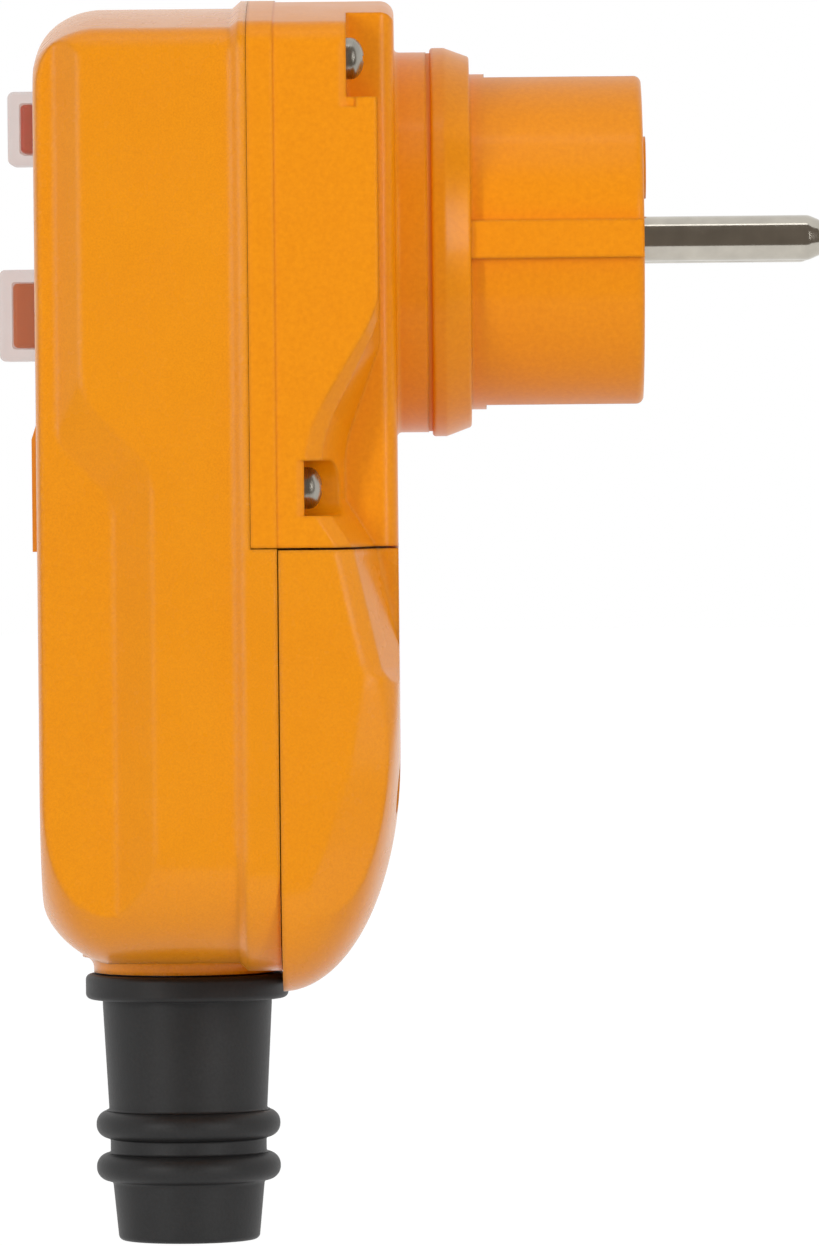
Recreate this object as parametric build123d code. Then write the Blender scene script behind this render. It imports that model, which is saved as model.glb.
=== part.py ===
"""Rewirable safety plug with a residual-current device, an earthed round plug head and two capped buttons.

Millimetres. X runs across the housing, minus Y points out of the buttons,
plus Y runs along the pins and Z is up.
The origin is the centre of the plug head's end face, midway between the two pins.
"""

from build123d import *
import math
import os

# Plug head, collar and pins
head_radius = 18.0
head_length = 18.4
head_edge_radius = 0.8
collar_radius = 20.85
collar_length = 4.2
collar_cone_drop = 1.0
collar_straight = 1.5
collar_edge_radius = 0.35
seal_thickness = 0.4
seal_inset = 0.5
neck_radius = 20.4
neck_length = 3.4
spigot_radius = 17.5
spigot_length = 6.4
pin_radius = 2.4
pin_length = 19.0
pin_pitch = 19.0
pin_tip_length = 1.4
pin_tip_drop = 0.6
pin_root_radius = 2.2
pin_flange_radius = 3.4
pin_flange_thickness = 1.0
pin_rivet_radius = 1.5
pin_relief_depth = 0.6
side_rib_width = 4.0
side_rib_height = 1.0
face_boss_radius = 3.35
face_boss_height = 0.5
face_boss_rise = 7.8
face_screw_radius = 1.2
earth_recess_width = 8.0
earth_recess_depth = 4.4
earth_recess_length = 16.8
earth_strap_width = 6.0
earth_strap_thickness = 0.8
earth_arm_rise = 14.8
earth_bump = 2.0
earth_arm_end = 2.2
earth_slot_half = 3.3
running_gap = 0.05

# Housing
housing_width = 62.0
housing_depth = 38.0
rear_shell_depth = 15.5
cover_depth = 12.7
top_height = 26.0
bottom_depth = 77.2
seam_depth = 32.4
cover_bottom_depth = 79.4
wall = 2.2
seam_gap = 0.12
top_arch_radius = 140.0
top_corner_radius = 3.2
bottom_corner_radius = 12.5
rear_edge_radius = 1.5
rear_band_step = 0.15
rim_flare = 0.8
rim_band = 0.8
rim_chamfer = 0.9
floor_thickness = 4.2
partition_thickness = 2.2

# Rounding of the front face's edges: how deep it starts and how far it draws in
top_round_depth = 7.0
top_round_amount = 5.4
side_round_depth = 4.1
side_round_amount = 4.1
bottom_round_depth = 7.0
bottom_round_amount = 6.2
round_power = 2.0
bottom_round_power = 1.5
round_station_shares = (1, 0.8, 0.61, 0.44, 0.29, 0.16, 0.065, 0.016, 0)

# Grip inset on the front shell's sides: its outer and inner lines
grip_inset = 2.2
grip_outer_line = 11.9
grip_inner_line = 8.1
grip_outer_top = 17.6
grip_outer_bend = 22.75
grip_inner_top = 23.3
grip_inner_bend = 26.6
grip_outer_radius = 6.0
grip_inner_radius = 4.5

# Scoops on the sides of the rear shell and the cover
scoop_floor_edge = 8.0
scoop_strip_depth = 1.5
scoop_top_depth = 6.45
scoop_shoulder_depth = 18.95
scoop_line = 9.8
scoop_foot_depth = 27.3
scoop_tail_depth = 45.0
scoop_bend_radius = 13.0
scoop_small_radius = 1.5
scoop_strip_width = 1.8
scoop_wall_run = 2.4
scoop_tail_line = 3.7
scoop_tail_run = 3.25
scoop_shift_shares = (0.05, 0.75, 0.36)
core_chamfer = 2.4

# Screw pockets in the rear shell, placed from its sides and top
upper_pocket_depth = 5.0
upper_pocket_height = 11.1
upper_screw_edge = 4.0
upper_screw_drop = 7.0
lower_pocket_radius = 2.9
lower_screw_edge = 3.7
lower_screw_z = -26.05
pocket_bevel = 1.0
pocket_bevel_depth = 0.5

# Terminal cover's rounding
cover_round_amount = 24.4
cover_side_depth = 4.4
cover_side_amount = 4.4
cover_station_shares = (1, 0.86, 0.72, 0.58, 0.44, 0.31, 0.2, 0.11, 0.045, 0.011, 0)
cover_core_margin = 5.0
cover_boot_clearance = 0.4

# Screws
screw_radius = 1.4
screw_hole_clearance = 0.1
screw_head_radius = 2.2
screw_head_height = 1.9
screw_dome_share = 0.85
screw_recess_width = 0.6
screw_recess_reach = 1.25
screw_recess_depth = 1.1
screw_boss_radius = 2.9
boss_depth = 7.6
upper_screw_length = 16.0
lower_screw_length = 12.0
cover_screw_edge = 10.4
cover_web_width = 2.0
cover_screw_z = -58.0
cover_screw_length = 11.2
cover_screw_seat = 7.6
cover_screw_bore_radius = 2.6

# Button caps and keys
cap_flange_width = 1.5
cap_flange_thickness = 1.1
cap_corner_radius = 0.7
cap_gap = 0.12
test_cap_width = 11.0
test_cap_height = 7.9
test_cap_reach = 3.4
test_cap_wall = 1.2
test_centre_drop = 13.5
test_travel = 1.5
reset_cap_width = 13.0
reset_cap_height = 9.8
reset_cap_reach = 4.45
reset_cap_wall = 1.3
reset_centre_z = -7.5
reset_travel = 2.0
key_gap = 0.15
slide_gap = 0.35
key_collar_width = 1.1
key_collar_thickness = 1.2
key_edge_radius = 0.5

# Bracket, board and what they carry
bracket_thickness = 1.5
bracket_edge_gap = 0.8
bracket_foot = -14.5
bracket_top_drop = 7.0
pillar_radius = 2.4
pillar_edge = 3.2
pillar_upper_edge = 2.6
pillar_lower_edge = 3.3
pillar_bite = 0.7
board_gap = 7.6
board_thickness = 1.6
board_screw_radius = 1.1
board_screw_head_radius = 1.9
board_screw_head_height = 1.3
test_tail_radius = 1.2
reset_tail_radius = 1.6
tail_clearance = 0.4
pad_thickness = 0.15
pad_half = 1.0
pad_split = 0.2
pad_reach = 1.2
spring_wire_radius = 0.25
spring_clearance = 0.5
spring_turns = 4.5

# Switch mechanism
contact_gap = 2.05
contact_radius = 2.0
contact_height = 0.8
strip_thickness = 1.0
strip_width = 5.4
arm_thickness = 0.8
arm_inner_x = 3.6
arm_outer_x = 11.8
carrier_half_width = 8.0
carrier_half_height = 2.5
carrier_stem_half = 2.5
carrier_stem_reach = 7.65
carrier_head_depth = 3.2
carrier_foot_thickness = 1.2
carrier_foot_drop = 13.4
frame_inner = 14.0
frame_cheek = 1.6
frame_reach = 13.8
frame_bridge = 1.4
frame_foot = -13.6
frame_top_drop = 6.4
frame_foot_width = 4.4
frame_foot_thickness = 1.6
frame_screw_z = 7.0
frame_screw_x = 17.9
frame_screw_bite = 3.4
carrier_spring_radius = 2.2
carrier_spring_turns = 4.0
spring_peg_radius = 1.2
spring_peg_height = 1.8
coil_radius = 5.2
coil_height = 9.6
coil_flange = 1.0
coil_waist = 0.6
yoke_thickness = 1.2
coil_drop = 1.0
plunger_radius = 1.4
plunger_bore_gap = 0.2
plunger_cross_radius = 0.6
plunger_cross_half = 2.8
plunger_cross_z = -1.4
plunger_end_gap = 1.6
latch_pin_radius = 0.9
latch_barrel_radius = 1.5
latch_arm_thickness = 1.4
latch_half_width = 3.2
latch_fork_half = 1.8
latch_pivot_offset = 3.7
latch_fork_reach = 2.0
latch_tail_reach = 4.4
latch_hook_drop = 1.3
latch_hook_length = 1.0
latch_gap = 0.2
tooth_gap = 0.1
tooth_length = 1.2

# Summation transformer and leads
sensor_outer_radius = 8.0
sensor_inner_radius = 5.6
sensor_height = 5.0
sensor_wrap = 0.7
sensor_wrap_angle = 130.0
sensor_y = -49.6
lead_radius = 1.0
lead_offset = 2.1
lead_hole_radius = 3.8
lead_strip_depth = 4.0
lead_bend_radius = 1.4
lead_bow = 2.9
lead_end_x = 8.0
lead_end_z = -13.0
earth_lead_end_x = 1.9
earth_lead_end_z = -12.5
earth_lead_x = 6.0
earth_lead_y = -36.0

# Wiring chamber
terminal_pitch = 10.0
terminal_block_half = 16.0
terminal_block_drop = 5.6
terminal_block_height = 13.0
terminal_block_depth = 9.0
terminal_block_y = -43.2
clamp_size = 6.0
clamp_height = 9.0
clamp_bore_radius = 1.7
clamp_gap = 0.1
terminal_screw_radius = 1.4
terminal_screw_head_radius = 2.0
terminal_screw_length = 2.6
terminal_screw_lift = 0.5
terminal_screw_head_height = 1.0
cable_clamp_half = 14.0
cable_clamp_height = 6.0
cable_clamp_thickness = 4.4
cable_clamp_z = -63.0
cable_clamp_rise = 2.8
cable_groove_radius = 5.2
clamp_screw_x = 10.4
clamp_post_radius = 2.8
clamp_screw_length = 10.4

# Cable boot, on its own axis
boot_axis_y = -49.6
boot_bore_radius = 5.0
boot_inner_flange_radius = 10.8
boot_inner_flange_height = 2.0
boot_neck_radius = 8.9
boot_fit = 0.15
boot_collar_radius = 10.0
boot_collar_drop = 1.7
boot_collar_fillet = 1.2
boot_flange_radius = 10.9
boot_flange_height = 2.7
boot_flange_gap = 0.2
boot_body_radius = 9.1
boot_waist_radius = 8.5
boot_waist_drop = 14.2
boot_rib_radius = 9.9
boot_rib_size = 1.5
boot_rib_drop = 16.2
boot_rib_pitch = 4.6
boot_valley_radius = 8.4
boot_tail_radius = 8.15
boot_tail_drop = 22.5
boot_end_radius = 7.55
boot_end_drop = 28.7
boot_edge_radius = 0.6

# Front plate
plate_half_width = 19.0
plate_top = -18.5
plate_ramp = 2.2
plate_foot = -32.6
plate_thickness = 0.7

# Gasket
gasket_inset = 1.15
gasket_width = 0.9
gasket_depth = 1.2

# Parts carried by the board
chip_places = ((-12.0, 11.0), (13.0, 15.0))
chip_size = (7.0, 9.0)
chip_height = 1.4
capacitor_places = ((-6.0, 17.0), (6.5, 22.5))
capacitor_radius = 2.6
capacitor_height = 6.0

overrun = 5.0
HALF_TURN = 180

# Planes worked out from the sizes above
half_width = housing_width / 2
rear_y = -(head_length + collar_length + seal_thickness + neck_length)
neck_y = rear_y + neck_length
front_y = rear_y - housing_depth
parting_y = rear_y - rear_shell_depth
cover_y = rear_y - cover_depth
front_inner_y = front_y + wall
flare_y = parting_y - rim_band
slope_y = flare_y - rim_chamfer
front_half = half_width - rim_flare
grip_half = front_half - grip_inset
lower_inner_half = grip_half - wall
front_bottom = -(bottom_depth - rim_flare)
floor_z = front_bottom + floor_thickness
spigot_y = -(head_length + collar_length + spigot_length)
rear_floor_y = spigot_y - wall
scoop_floor_half = half_width - scoop_floor_edge
core_half = scoop_floor_half - wall
upper_pocket_inner = scoop_floor_half
upper_pocket_foot = top_height - upper_pocket_height
upper_screw_x = half_width - upper_screw_edge
upper_screw_z = top_height - upper_screw_drop
lower_screw_x = half_width - lower_screw_edge
cover_screw_x = half_width - cover_screw_edge
cover_core_half = cover_screw_x - cover_core_margin
test_centre_z = top_height - test_centre_drop
bracket_half_width = lower_inner_half - bracket_edge_gap
bracket_top = top_height - bracket_top_drop
pillar_x = bracket_half_width - pillar_edge
pillar_upper_z = bracket_top - pillar_upper_edge
pillar_lower_z = bracket_foot + pillar_lower_edge
frame_top = top_height - frame_top_drop
pocket_y = rear_y - upper_pocket_depth
scoop_side_y = rear_y - scoop_line
rear_step_y = scoop_side_y - wall
bracket_y = front_inner_y + cap_flange_thickness
bracket_back_y = bracket_y + bracket_thickness
board_y = bracket_back_y + board_gap
board_back_y = board_y + board_thickness
pin_x = pin_pitch / 2
boot_top_z = front_bottom - boot_collar_drop
partition_foot = -seam_depth
partition_top = partition_foot + partition_thickness
terminal_block_top = partition_foot - terminal_block_drop
pin_shoulder_y = rear_floor_y - strip_thickness
contact_y = pin_shoulder_y - strip_thickness - contact_height
moving_y = contact_y - contact_gap
arm_y = moving_y - contact_height
carrier_back_y = arm_y - arm_thickness
carrier_head_y = carrier_back_y - carrier_head_depth
frame_front_y = rear_floor_y - frame_reach
frame_inner_y = frame_front_y + frame_bridge
coil_y = frame_inner_y + coil_radius + plunger_bore_gap
coil_foot_z = frame_top - coil_height - coil_drop
latch_y = coil_y - latch_pivot_offset
latch_z = plunger_cross_z + plunger_cross_radius + latch_gap / 2 + latch_arm_thickness / 2
hook_foot_z = latch_z - latch_arm_thickness / 2 - latch_hook_drop
tooth_y = coil_y + latch_fork_reach + tooth_gap - reset_travel
stem_front_y = carrier_head_y - carrier_stem_reach
reset_tip_y = stem_front_y - tail_clearance
test_tip_y = board_y - pad_thickness - test_travel - key_gap
carrier_spring_z = reset_centre_z - carrier_foot_drop + carrier_half_height
terminal_y = terminal_block_y - terminal_block_depth / 2
clamp_seat_y = boot_axis_y + cable_clamp_rise


def across(y):
    """Plane whose own axes are X and Z, facing the buttons, at y."""
    return Plane(origin=(0, y, 0), x_dir=(1, 0, 0), z_dir=(0, -1, 0))


def beside(x):
    """Plane whose own axes are Y and Z, facing plus X, at x."""
    return Plane(origin=(x, 0, 0), x_dir=(0, 1, 0), z_dir=(1, 0, 0))


def level(z):
    """Plane whose own axes are X and Y, facing up, at z."""
    return Plane(origin=(0, 0, z), x_dir=(1, 0, 0), z_dir=(0, 0, 1))


def block(x_from, x_to, y_from, y_to, z_from, z_to):
    """Rectangular solid between three pairs of planes."""
    centre = Pos((x_from + x_to) / 2, (y_from + y_to) / 2, (z_from + z_to) / 2)
    return centre * Box(x_to - x_from, y_to - y_from, z_to - z_from)


def rod_along_y(x, z, radius, y_from, y_to):
    """Cylinder along Y."""
    return extrude(across(y_to) * Pos(x, z) * Circle(radius), amount=y_to - y_from)


def rod_along_z(x, y, radius, z_from, z_to):
    """Cylinder along Z."""
    return extrude(level(z_from) * Pos(x, y) * Circle(radius), amount=z_to - z_from)


def rod_along_x(y, z, radius, x_from, x_to):
    """Cylinder along X."""
    return extrude(beside(x_from) * Pos(y, z) * Circle(radius), amount=x_to - x_from)


def on_both_sides(shape):
    """The shape and its mirror image across the plane X = 0, fused."""
    return shape + mirror(shape, about=Plane.YZ)


def mirrored_pair(shape):
    """The shape and its mirror image as two separate solids."""
    return [shape, mirror(shape, about=Plane.YZ)]


def corner_arc(before, corner, after, radius):
    """Start, middle and end of the arc that rounds one corner."""
    incoming = (before - corner).normalized()
    outgoing = (after - corner).normalized()
    half_angle = math.radians(incoming.get_angle(outgoing)) / 2
    reach = radius / math.tan(half_angle)
    bisector = (incoming + outgoing).normalized()
    middle = corner + bisector * (radius / math.sin(half_angle) - radius)
    return corner + incoming * reach, middle, corner + outgoing * reach


def rounded_face(corners):
    """Closed face through corners given as (across, up, radius), each rounded by its radius."""
    points = [Vector(a, b, 0) for a, b, _ in corners]
    edges = []
    starts = []
    ends = []
    for index, (_, _, radius) in enumerate(corners):
        before = points[index - 1]
        after = points[(index + 1) % len(points)]
        if radius > 0:
            start, middle, end = corner_arc(before, points[index], after, radius)
            edges.append(ThreePointArc(start, middle, end))
        else:
            start = points[index]
            end = points[index]
        starts.append(start)
        ends.append(end)
    for index, end in enumerate(ends):
        start = starts[(index + 1) % len(points)]
        edges.append(Line(end, start))
    return make_face(edges)


def housing_section(y, side_inset, top_inset, bottom_inset, depth=bottom_depth):
    """Face across the housing at y, with its arched top and round corners, drawn in by the insets."""
    half = half_width - side_inset
    crown = top_height - top_inset
    foot = bottom_inset - depth
    radius = bottom_corner_radius
    arch_centre = Vector(0, crown - top_arch_radius, 0)
    corner_x = half - top_corner_radius
    inner_reach = top_arch_radius - top_corner_radius
    corner_centre = Vector(corner_x, arch_centre.Y + math.sqrt(inner_reach ** 2 - corner_x ** 2), 0)
    outward = (corner_centre - arch_centre).normalized()
    shoulder = arch_centre + outward * top_arch_radius
    bend = corner_centre + (outward + Vector(1, 0, 0)).normalized() * top_corner_radius
    heel = Vector(half - radius, foot + radius, 0) + Vector(1, -1, 0).normalized() * radius
    edges = [
        Line((radius - half, foot), (half - radius, foot)),
        ThreePointArc((half - radius, foot), heel, (half, foot + radius)),
        Line((half, foot + radius), (half, corner_centre.Y)),
        ThreePointArc((half, corner_centre.Y), bend, shoulder),
        ThreePointArc(shoulder, (0, crown), (-shoulder.X, shoulder.Y)),
        ThreePointArc((-shoulder.X, shoulder.Y), (-bend.X, bend.Y), (-half, corner_centre.Y)),
        Line((-half, corner_centre.Y), (-half, foot + radius)),
        ThreePointArc((-half, foot + radius), (-heel.X, heel.Y), (radius - half, foot)),
    ]
    return across(y) * make_face(edges)


def draw_in(behind_face, depth, amount, power):
    """How far a rounded edge has drawn in at a distance behind the face it runs into."""
    if behind_face >= depth:
        return 0
    share = 1 - behind_face / depth
    return amount * (1 - (1 - share ** power) ** (1 / power))


def section_prism(y_from, y_to, side_inset, top_inset, bottom_inset):
    """Straight run of the housing's section between two planes."""
    return extrude(housing_section(y_to, side_inset, top_inset, bottom_inset), amount=y_to - y_from)


def front_form():
    """Outer form of the front shell, solid: flared rim, straight body and rounded front."""
    low_band = section_prism(flare_y, cover_y, 0, 0, 0)
    notch = block(
        -housing_width, housing_width, parting_y, cover_y + overrun, -seam_depth, top_height + overrun,
    )
    slope_sections = [
        housing_section(flare_y, 0, 0, 0),
        housing_section(slope_y, rim_flare, rim_flare, rim_flare),
    ]
    body = section_prism(front_y + top_round_depth, slope_y, rim_flare, rim_flare, rim_flare)
    nose_sections = []
    for share in round_station_shares:
        behind = share * top_round_depth
        side = draw_in(behind, side_round_depth, side_round_amount, round_power)
        top = draw_in(behind, top_round_depth, top_round_amount, round_power)
        bottom = draw_in(behind, bottom_round_depth, bottom_round_amount, bottom_round_power)
        section = housing_section(front_y + behind, rim_flare + side, rim_flare + top, rim_flare + bottom)
        nose_sections.append(section)
    nose = loft(nose_sections)
    return (low_band - notch) + loft(slope_sections, ruled=True) + body + nose


def grip_cut():
    """Tool that draws in one side of the front shell's lower part, with a sloped shoulder."""
    ahead = front_y - overrun
    below = -(bottom_depth + overrun)
    outer_y = parting_y - grip_outer_line + rim_band + rim_flare
    inner_y = front_y + grip_inner_line
    outer = rounded_face([
        (outer_y - grip_outer_radius - rim_flare, -grip_outer_radius - rim_flare, 0),
        (outer_y - grip_outer_radius - rim_flare, -grip_outer_top, grip_outer_radius),
        (outer_y, -grip_outer_bend, grip_outer_radius),
        (outer_y, below, 0),
        (ahead, below, 0),
        (ahead, -grip_outer_radius - rim_flare, 0),
    ])
    inner = rounded_face([
        (front_y, -grip_outer_bend + inner_y - front_y, 0),
        (inner_y - grip_inner_radius, -grip_inner_top, grip_inner_radius),
        (inner_y, -grip_inner_bend, grip_inner_radius),
        (inner_y, below, 0),
        (ahead, below, 0),
        (ahead, -grip_outer_bend + inner_y - front_y, 0),
    ])
    shoulder = loft([beside(grip_half) * inner, beside(front_half) * outer], ruled=True)
    outside = extrude(beside(front_half) * outer, amount=overrun)
    return shoulder + outside


def scoop_outline(shift):
    """Side outline of the scoop, moved back by shift: a long S and the tail into the cover."""
    out_y = rear_y + overrun
    across_share, top_share, shoulder_share = scoop_shift_shares
    edge_y = rear_y - rear_edge_radius + across_share * shift
    side_y = scoop_side_y + shift
    return rounded_face([
        (out_y, upper_pocket_foot + overrun, 0),
        (edge_y, upper_pocket_foot + overrun, 0),
        (edge_y, -scoop_top_depth - top_share * shift, scoop_bend_radius),
        (side_y, -scoop_shoulder_depth - shoulder_share * shift, scoop_bend_radius),
        (side_y, -scoop_foot_depth, scoop_small_radius),
        (side_y + scoop_tail_run, -seam_depth, scoop_small_radius),
        (rear_y - scoop_tail_line + shift, -scoop_tail_depth, scoop_small_radius),
        (out_y, -scoop_tail_depth - scoop_line, 0),
    ])


def scoop_cut():
    """Tool for one side's scoop: a narrow sloped strip, then a steep wall down to the flat floor."""
    edge = scoop_outline(0)
    crease = scoop_outline(scoop_strip_width)
    foot = scoop_outline(scoop_strip_width + scoop_wall_run)
    crease_x = half_width - scoop_strip_depth
    steep = loft([beside(scoop_floor_half) * foot, beside(crease_x) * crease], ruled=True)
    strip = loft([beside(crease_x) * crease, beside(half_width) * edge], ruled=True)
    outside = extrude(beside(half_width) * edge, amount=overrun)
    return steep + strip + outside


def strip_face(path, thickness):
    """Face of a bent strip of even thickness whose middle follows a path of (across, up) points."""
    points = [Vector(a, b, 0) for a, b in path]
    left = []
    right = []
    for index, point in enumerate(points):
        before = points[max(index - 1, 0)]
        after = points[min(index + 1, len(points) - 1)]
        incoming = (point - before).normalized() if index else (after - point).normalized()
        outgoing = (after - point).normalized() if after is not points[index] else incoming
        along = (incoming + outgoing).normalized()
        normal = Vector(-along.Y, along.X, 0)
        reach = thickness / 2 / normal.dot(Vector(-incoming.Y, incoming.X, 0))
        left.append(point + normal * reach)
        right.append(point - normal * reach)
    return make_face(Polyline(*left, *reversed(right), close=True))


def top_and_bottom(shape):
    """The shape and its mirror image across the plane Z = 0, fused."""
    return shape + mirror(shape, about=Plane.XY)


def housing_screw(x, z, seat_y, length):
    """Pan-head screw that goes in along minus Y, with a cross recess in its domed head."""
    head_face = rounded_face([
        (0, seat_y, 0),
        (screw_head_radius, seat_y, 0),
        (screw_head_radius, seat_y + screw_head_height, screw_head_height * screw_dome_share),
        (0, seat_y + screw_head_height, 0),
    ])
    head = revolve(head_face, axis=Axis.Y)
    top = seat_y + screw_head_height
    arm = block(
        -screw_recess_reach, screw_recess_reach, top - screw_recess_depth, top + overrun,
        -screw_recess_width / 2, screw_recess_width / 2,
    )
    recess = arm + Rotation(0, 90, 0) * arm
    shank = rod_along_y(0, 0, screw_radius, seat_y - length, seat_y)
    return Pos(x, 0, z) * (head - recess + shank)


def small_screw(x, z, seat_y, length, shank_radius, head_radius_here, head_height, along=1):
    """Plain cheese-head screw inside the plug, its head towards plus Y, or minus Y if along is -1."""
    slot = block(
        -head_radius_here, head_radius_here, head_height / 2, head_height + overrun,
        -screw_recess_width / 2, screw_recess_width / 2,
    )
    head = rod_along_y(0, 0, head_radius_here, 0, head_height) - slot
    shank = rod_along_y(0, 0, shank_radius, -length, 0)
    turn = Rotation(0, 0, 0 if along > 0 else 180)
    return Pos(x, seat_y, z) * (turn * (head + shank))


def plug_insert():
    """Round plug head and collar in one moulding, with the side ribs, face boss and earth recesses."""
    collar_end = head_length + collar_length
    profile = rounded_face([
        (0, 0, 0),
        (head_radius, 0, head_edge_radius),
        (head_radius, -head_length, 0),
        (collar_radius - collar_cone_drop, -head_length, collar_edge_radius),
        (collar_radius, collar_straight - collar_end, 0),
        (collar_radius, -collar_end, collar_edge_radius),
        (spigot_radius, -collar_end, 0),
        (spigot_radius, spigot_y, collar_edge_radius),
        (0, spigot_y, 0),
    ])
    body = revolve(profile, axis=Axis.Y)
    rib = block(
        head_radius - side_rib_width / 2, head_radius + side_rib_height, -head_length, 0,
        -side_rib_width / 2, side_rib_width / 2,
    )
    recess = block(
        -earth_recess_width / 2, earth_recess_width / 2, -earth_recess_length, overrun,
        head_radius - earth_recess_depth, head_radius + overrun,
    )
    slot = block(
        -earth_slot_half, earth_slot_half, spigot_y - overrun, -earth_recess_length,
        earth_arm_rise - earth_strap_thickness, earth_arm_rise + earth_strap_thickness,
    )
    boss = rod_along_y(0, face_boss_rise, face_boss_radius, -overrun, face_boss_height)
    screw_hole = rod_along_y(0, face_boss_rise, face_screw_radius + running_gap, spigot_y - overrun, overrun)
    body = body + on_both_sides(rib) + boss - top_and_bottom(recess + slot) - screw_hole
    for x in (-pin_x, pin_x):
        body -= rod_along_y(x, 0, pin_root_radius + running_gap, spigot_y - overrun, overrun)
        body -= rod_along_y(x, 0, pin_radius + running_gap, -pin_relief_depth, overrun)
        body -= rod_along_y(
            x, 0, pin_flange_radius + running_gap, spigot_y - overrun, spigot_y + pin_flange_thickness,
        )
    return body


def plug_pin(x):
    """One plug pin: rounded tip, shank, root through the head, flange, and rivet at the inner end."""
    tip_flat = pin_radius - pin_tip_drop
    profile = rounded_face([
        (0, pin_length, 0),
        (tip_flat, pin_length, pin_tip_drop),
        (pin_radius, pin_length - pin_tip_length, pin_tip_length),
        (pin_radius, 0, 0),
        (pin_root_radius, 0, 0),
        (pin_root_radius, spigot_y + pin_flange_thickness, 0),
        (pin_flange_radius, spigot_y + pin_flange_thickness, 0),
        (pin_flange_radius, spigot_y, 0),
        (pin_root_radius, spigot_y, 0),
        (pin_root_radius, pin_shoulder_y, 0),
        (pin_rivet_radius, pin_shoulder_y, 0),
        (pin_rivet_radius, pin_shoulder_y - strip_thickness - running_gap, 0),
        (0, pin_shoulder_y - strip_thickness - running_gap, 0),
    ])
    return Pos(x, 0, 0) * revolve(profile, axis=Axis.Y)


def earth_contact():
    """Sprung earth strap: a bar behind the rear wall and one bowed clip in each recess of the head."""
    bar_y = rear_floor_y - earth_strap_thickness / 2
    bow_y = (earth_arm_end + earth_recess_length) / 2
    arm = [
        (bar_y, earth_arm_rise),
        (-earth_recess_length, earth_arm_rise),
        (-bow_y, earth_arm_rise + earth_bump),
        (-earth_arm_end, earth_arm_rise),
    ]
    other = [(y, -z) for y, z in arm]
    strip = strip_face([*reversed(other), *arm], earth_strap_thickness)
    strap = extrude(beside(-earth_strap_width / 2) * strip, amount=earth_strap_width)
    hole = rod_along_y(0, face_boss_rise, face_screw_radius + running_gap, bar_y - overrun, bar_y + overrun)
    return strap - hole


def face_screw():
    """Long screw from the face boss through the head into the earth strap."""
    foot_y = rear_floor_y - earth_strap_thickness
    return rod_along_y(0, face_boss_rise, face_screw_radius, foot_y, face_boss_height)


def plug_seal_ring():
    """Thin seal between the collar and the neck."""
    ring = Circle(neck_radius - seal_inset) - Circle(spigot_radius + running_gap)
    return extrude(across(neck_y + seal_thickness) * ring, amount=seal_thickness)


def pocket_cuts():
    """Tools for one side's two screw pockets, with the narrow bevel along their front edges."""
    outside = half_width + overrun
    upper = block(
        upper_pocket_inner, outside, pocket_y, rear_y + overrun, upper_pocket_foot, top_height + overrun,
    )
    slot_foot = lower_screw_z - lower_pocket_radius
    slot_top = lower_screw_z + lower_pocket_radius
    lower = block(lower_screw_x, outside, scoop_side_y, rear_y + overrun, slot_foot, slot_top)
    lower += rod_along_y(lower_screw_x, lower_screw_z, lower_pocket_radius, scoop_side_y, rear_y + overrun)
    tools = upper + lower
    spans = (
        (pocket_y, upper_pocket_foot - pocket_bevel, top_height + overrun),
        (scoop_side_y, slot_foot, slot_top),
    )
    for edge_y, foot_z, top_z in spans:
        wedge = rounded_face([
            (half_width, edge_y - pocket_bevel, 0),
            (outside, edge_y - pocket_bevel, 0),
            (outside, edge_y + pocket_bevel, 0),
            (half_width - pocket_bevel_depth, edge_y + pocket_bevel, 0),
            (half_width - pocket_bevel_depth, edge_y, 0),
        ])
        tools += extrude(level(foot_z) * wedge, amount=top_z - foot_z)
    return tools


def core_chamfer_cut():
    """Tool that bevels one rear edge of the core inside the scoop."""
    triangle = rounded_face([
        (scoop_floor_half, rear_y - core_chamfer, 0),
        (half_width, rear_y - core_chamfer, 0),
        (half_width, rear_y + core_chamfer, 0),
        (scoop_floor_half - 2 * core_chamfer, rear_y + core_chamfer, 0),
    ])
    foot_z = -seam_depth - overrun
    return extrude(level(foot_z) * triangle, amount=-scoop_top_depth - foot_z)


def above_partition():
    """Block that keeps a cavity above the wall between the switch and the wiring chamber."""
    return block(-half_width, half_width, front_y, 0, partition_top, top_height)


def gasket(clearance=0):
    """Ring in the parting plane, around the switch compartment, deeper by the clearance."""
    outer_inset = gasket_inset
    inner_inset = gasket_inset + gasket_width
    depth = gasket_depth
    outer = section_prism(parting_y - depth, parting_y + clearance, outer_inset, outer_inset, 0)
    inner = section_prism(parting_y - 2 * depth, parting_y + depth, inner_inset, inner_inset, 0)
    bar_foot = partition_foot + (partition_thickness - gasket_width) / 2
    outer &= block(-half_width, half_width, front_y, 0, bar_foot, top_height)
    inner &= block(-half_width, half_width, front_y, 0, bar_foot + gasket_width, top_height)
    return outer - inner


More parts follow.
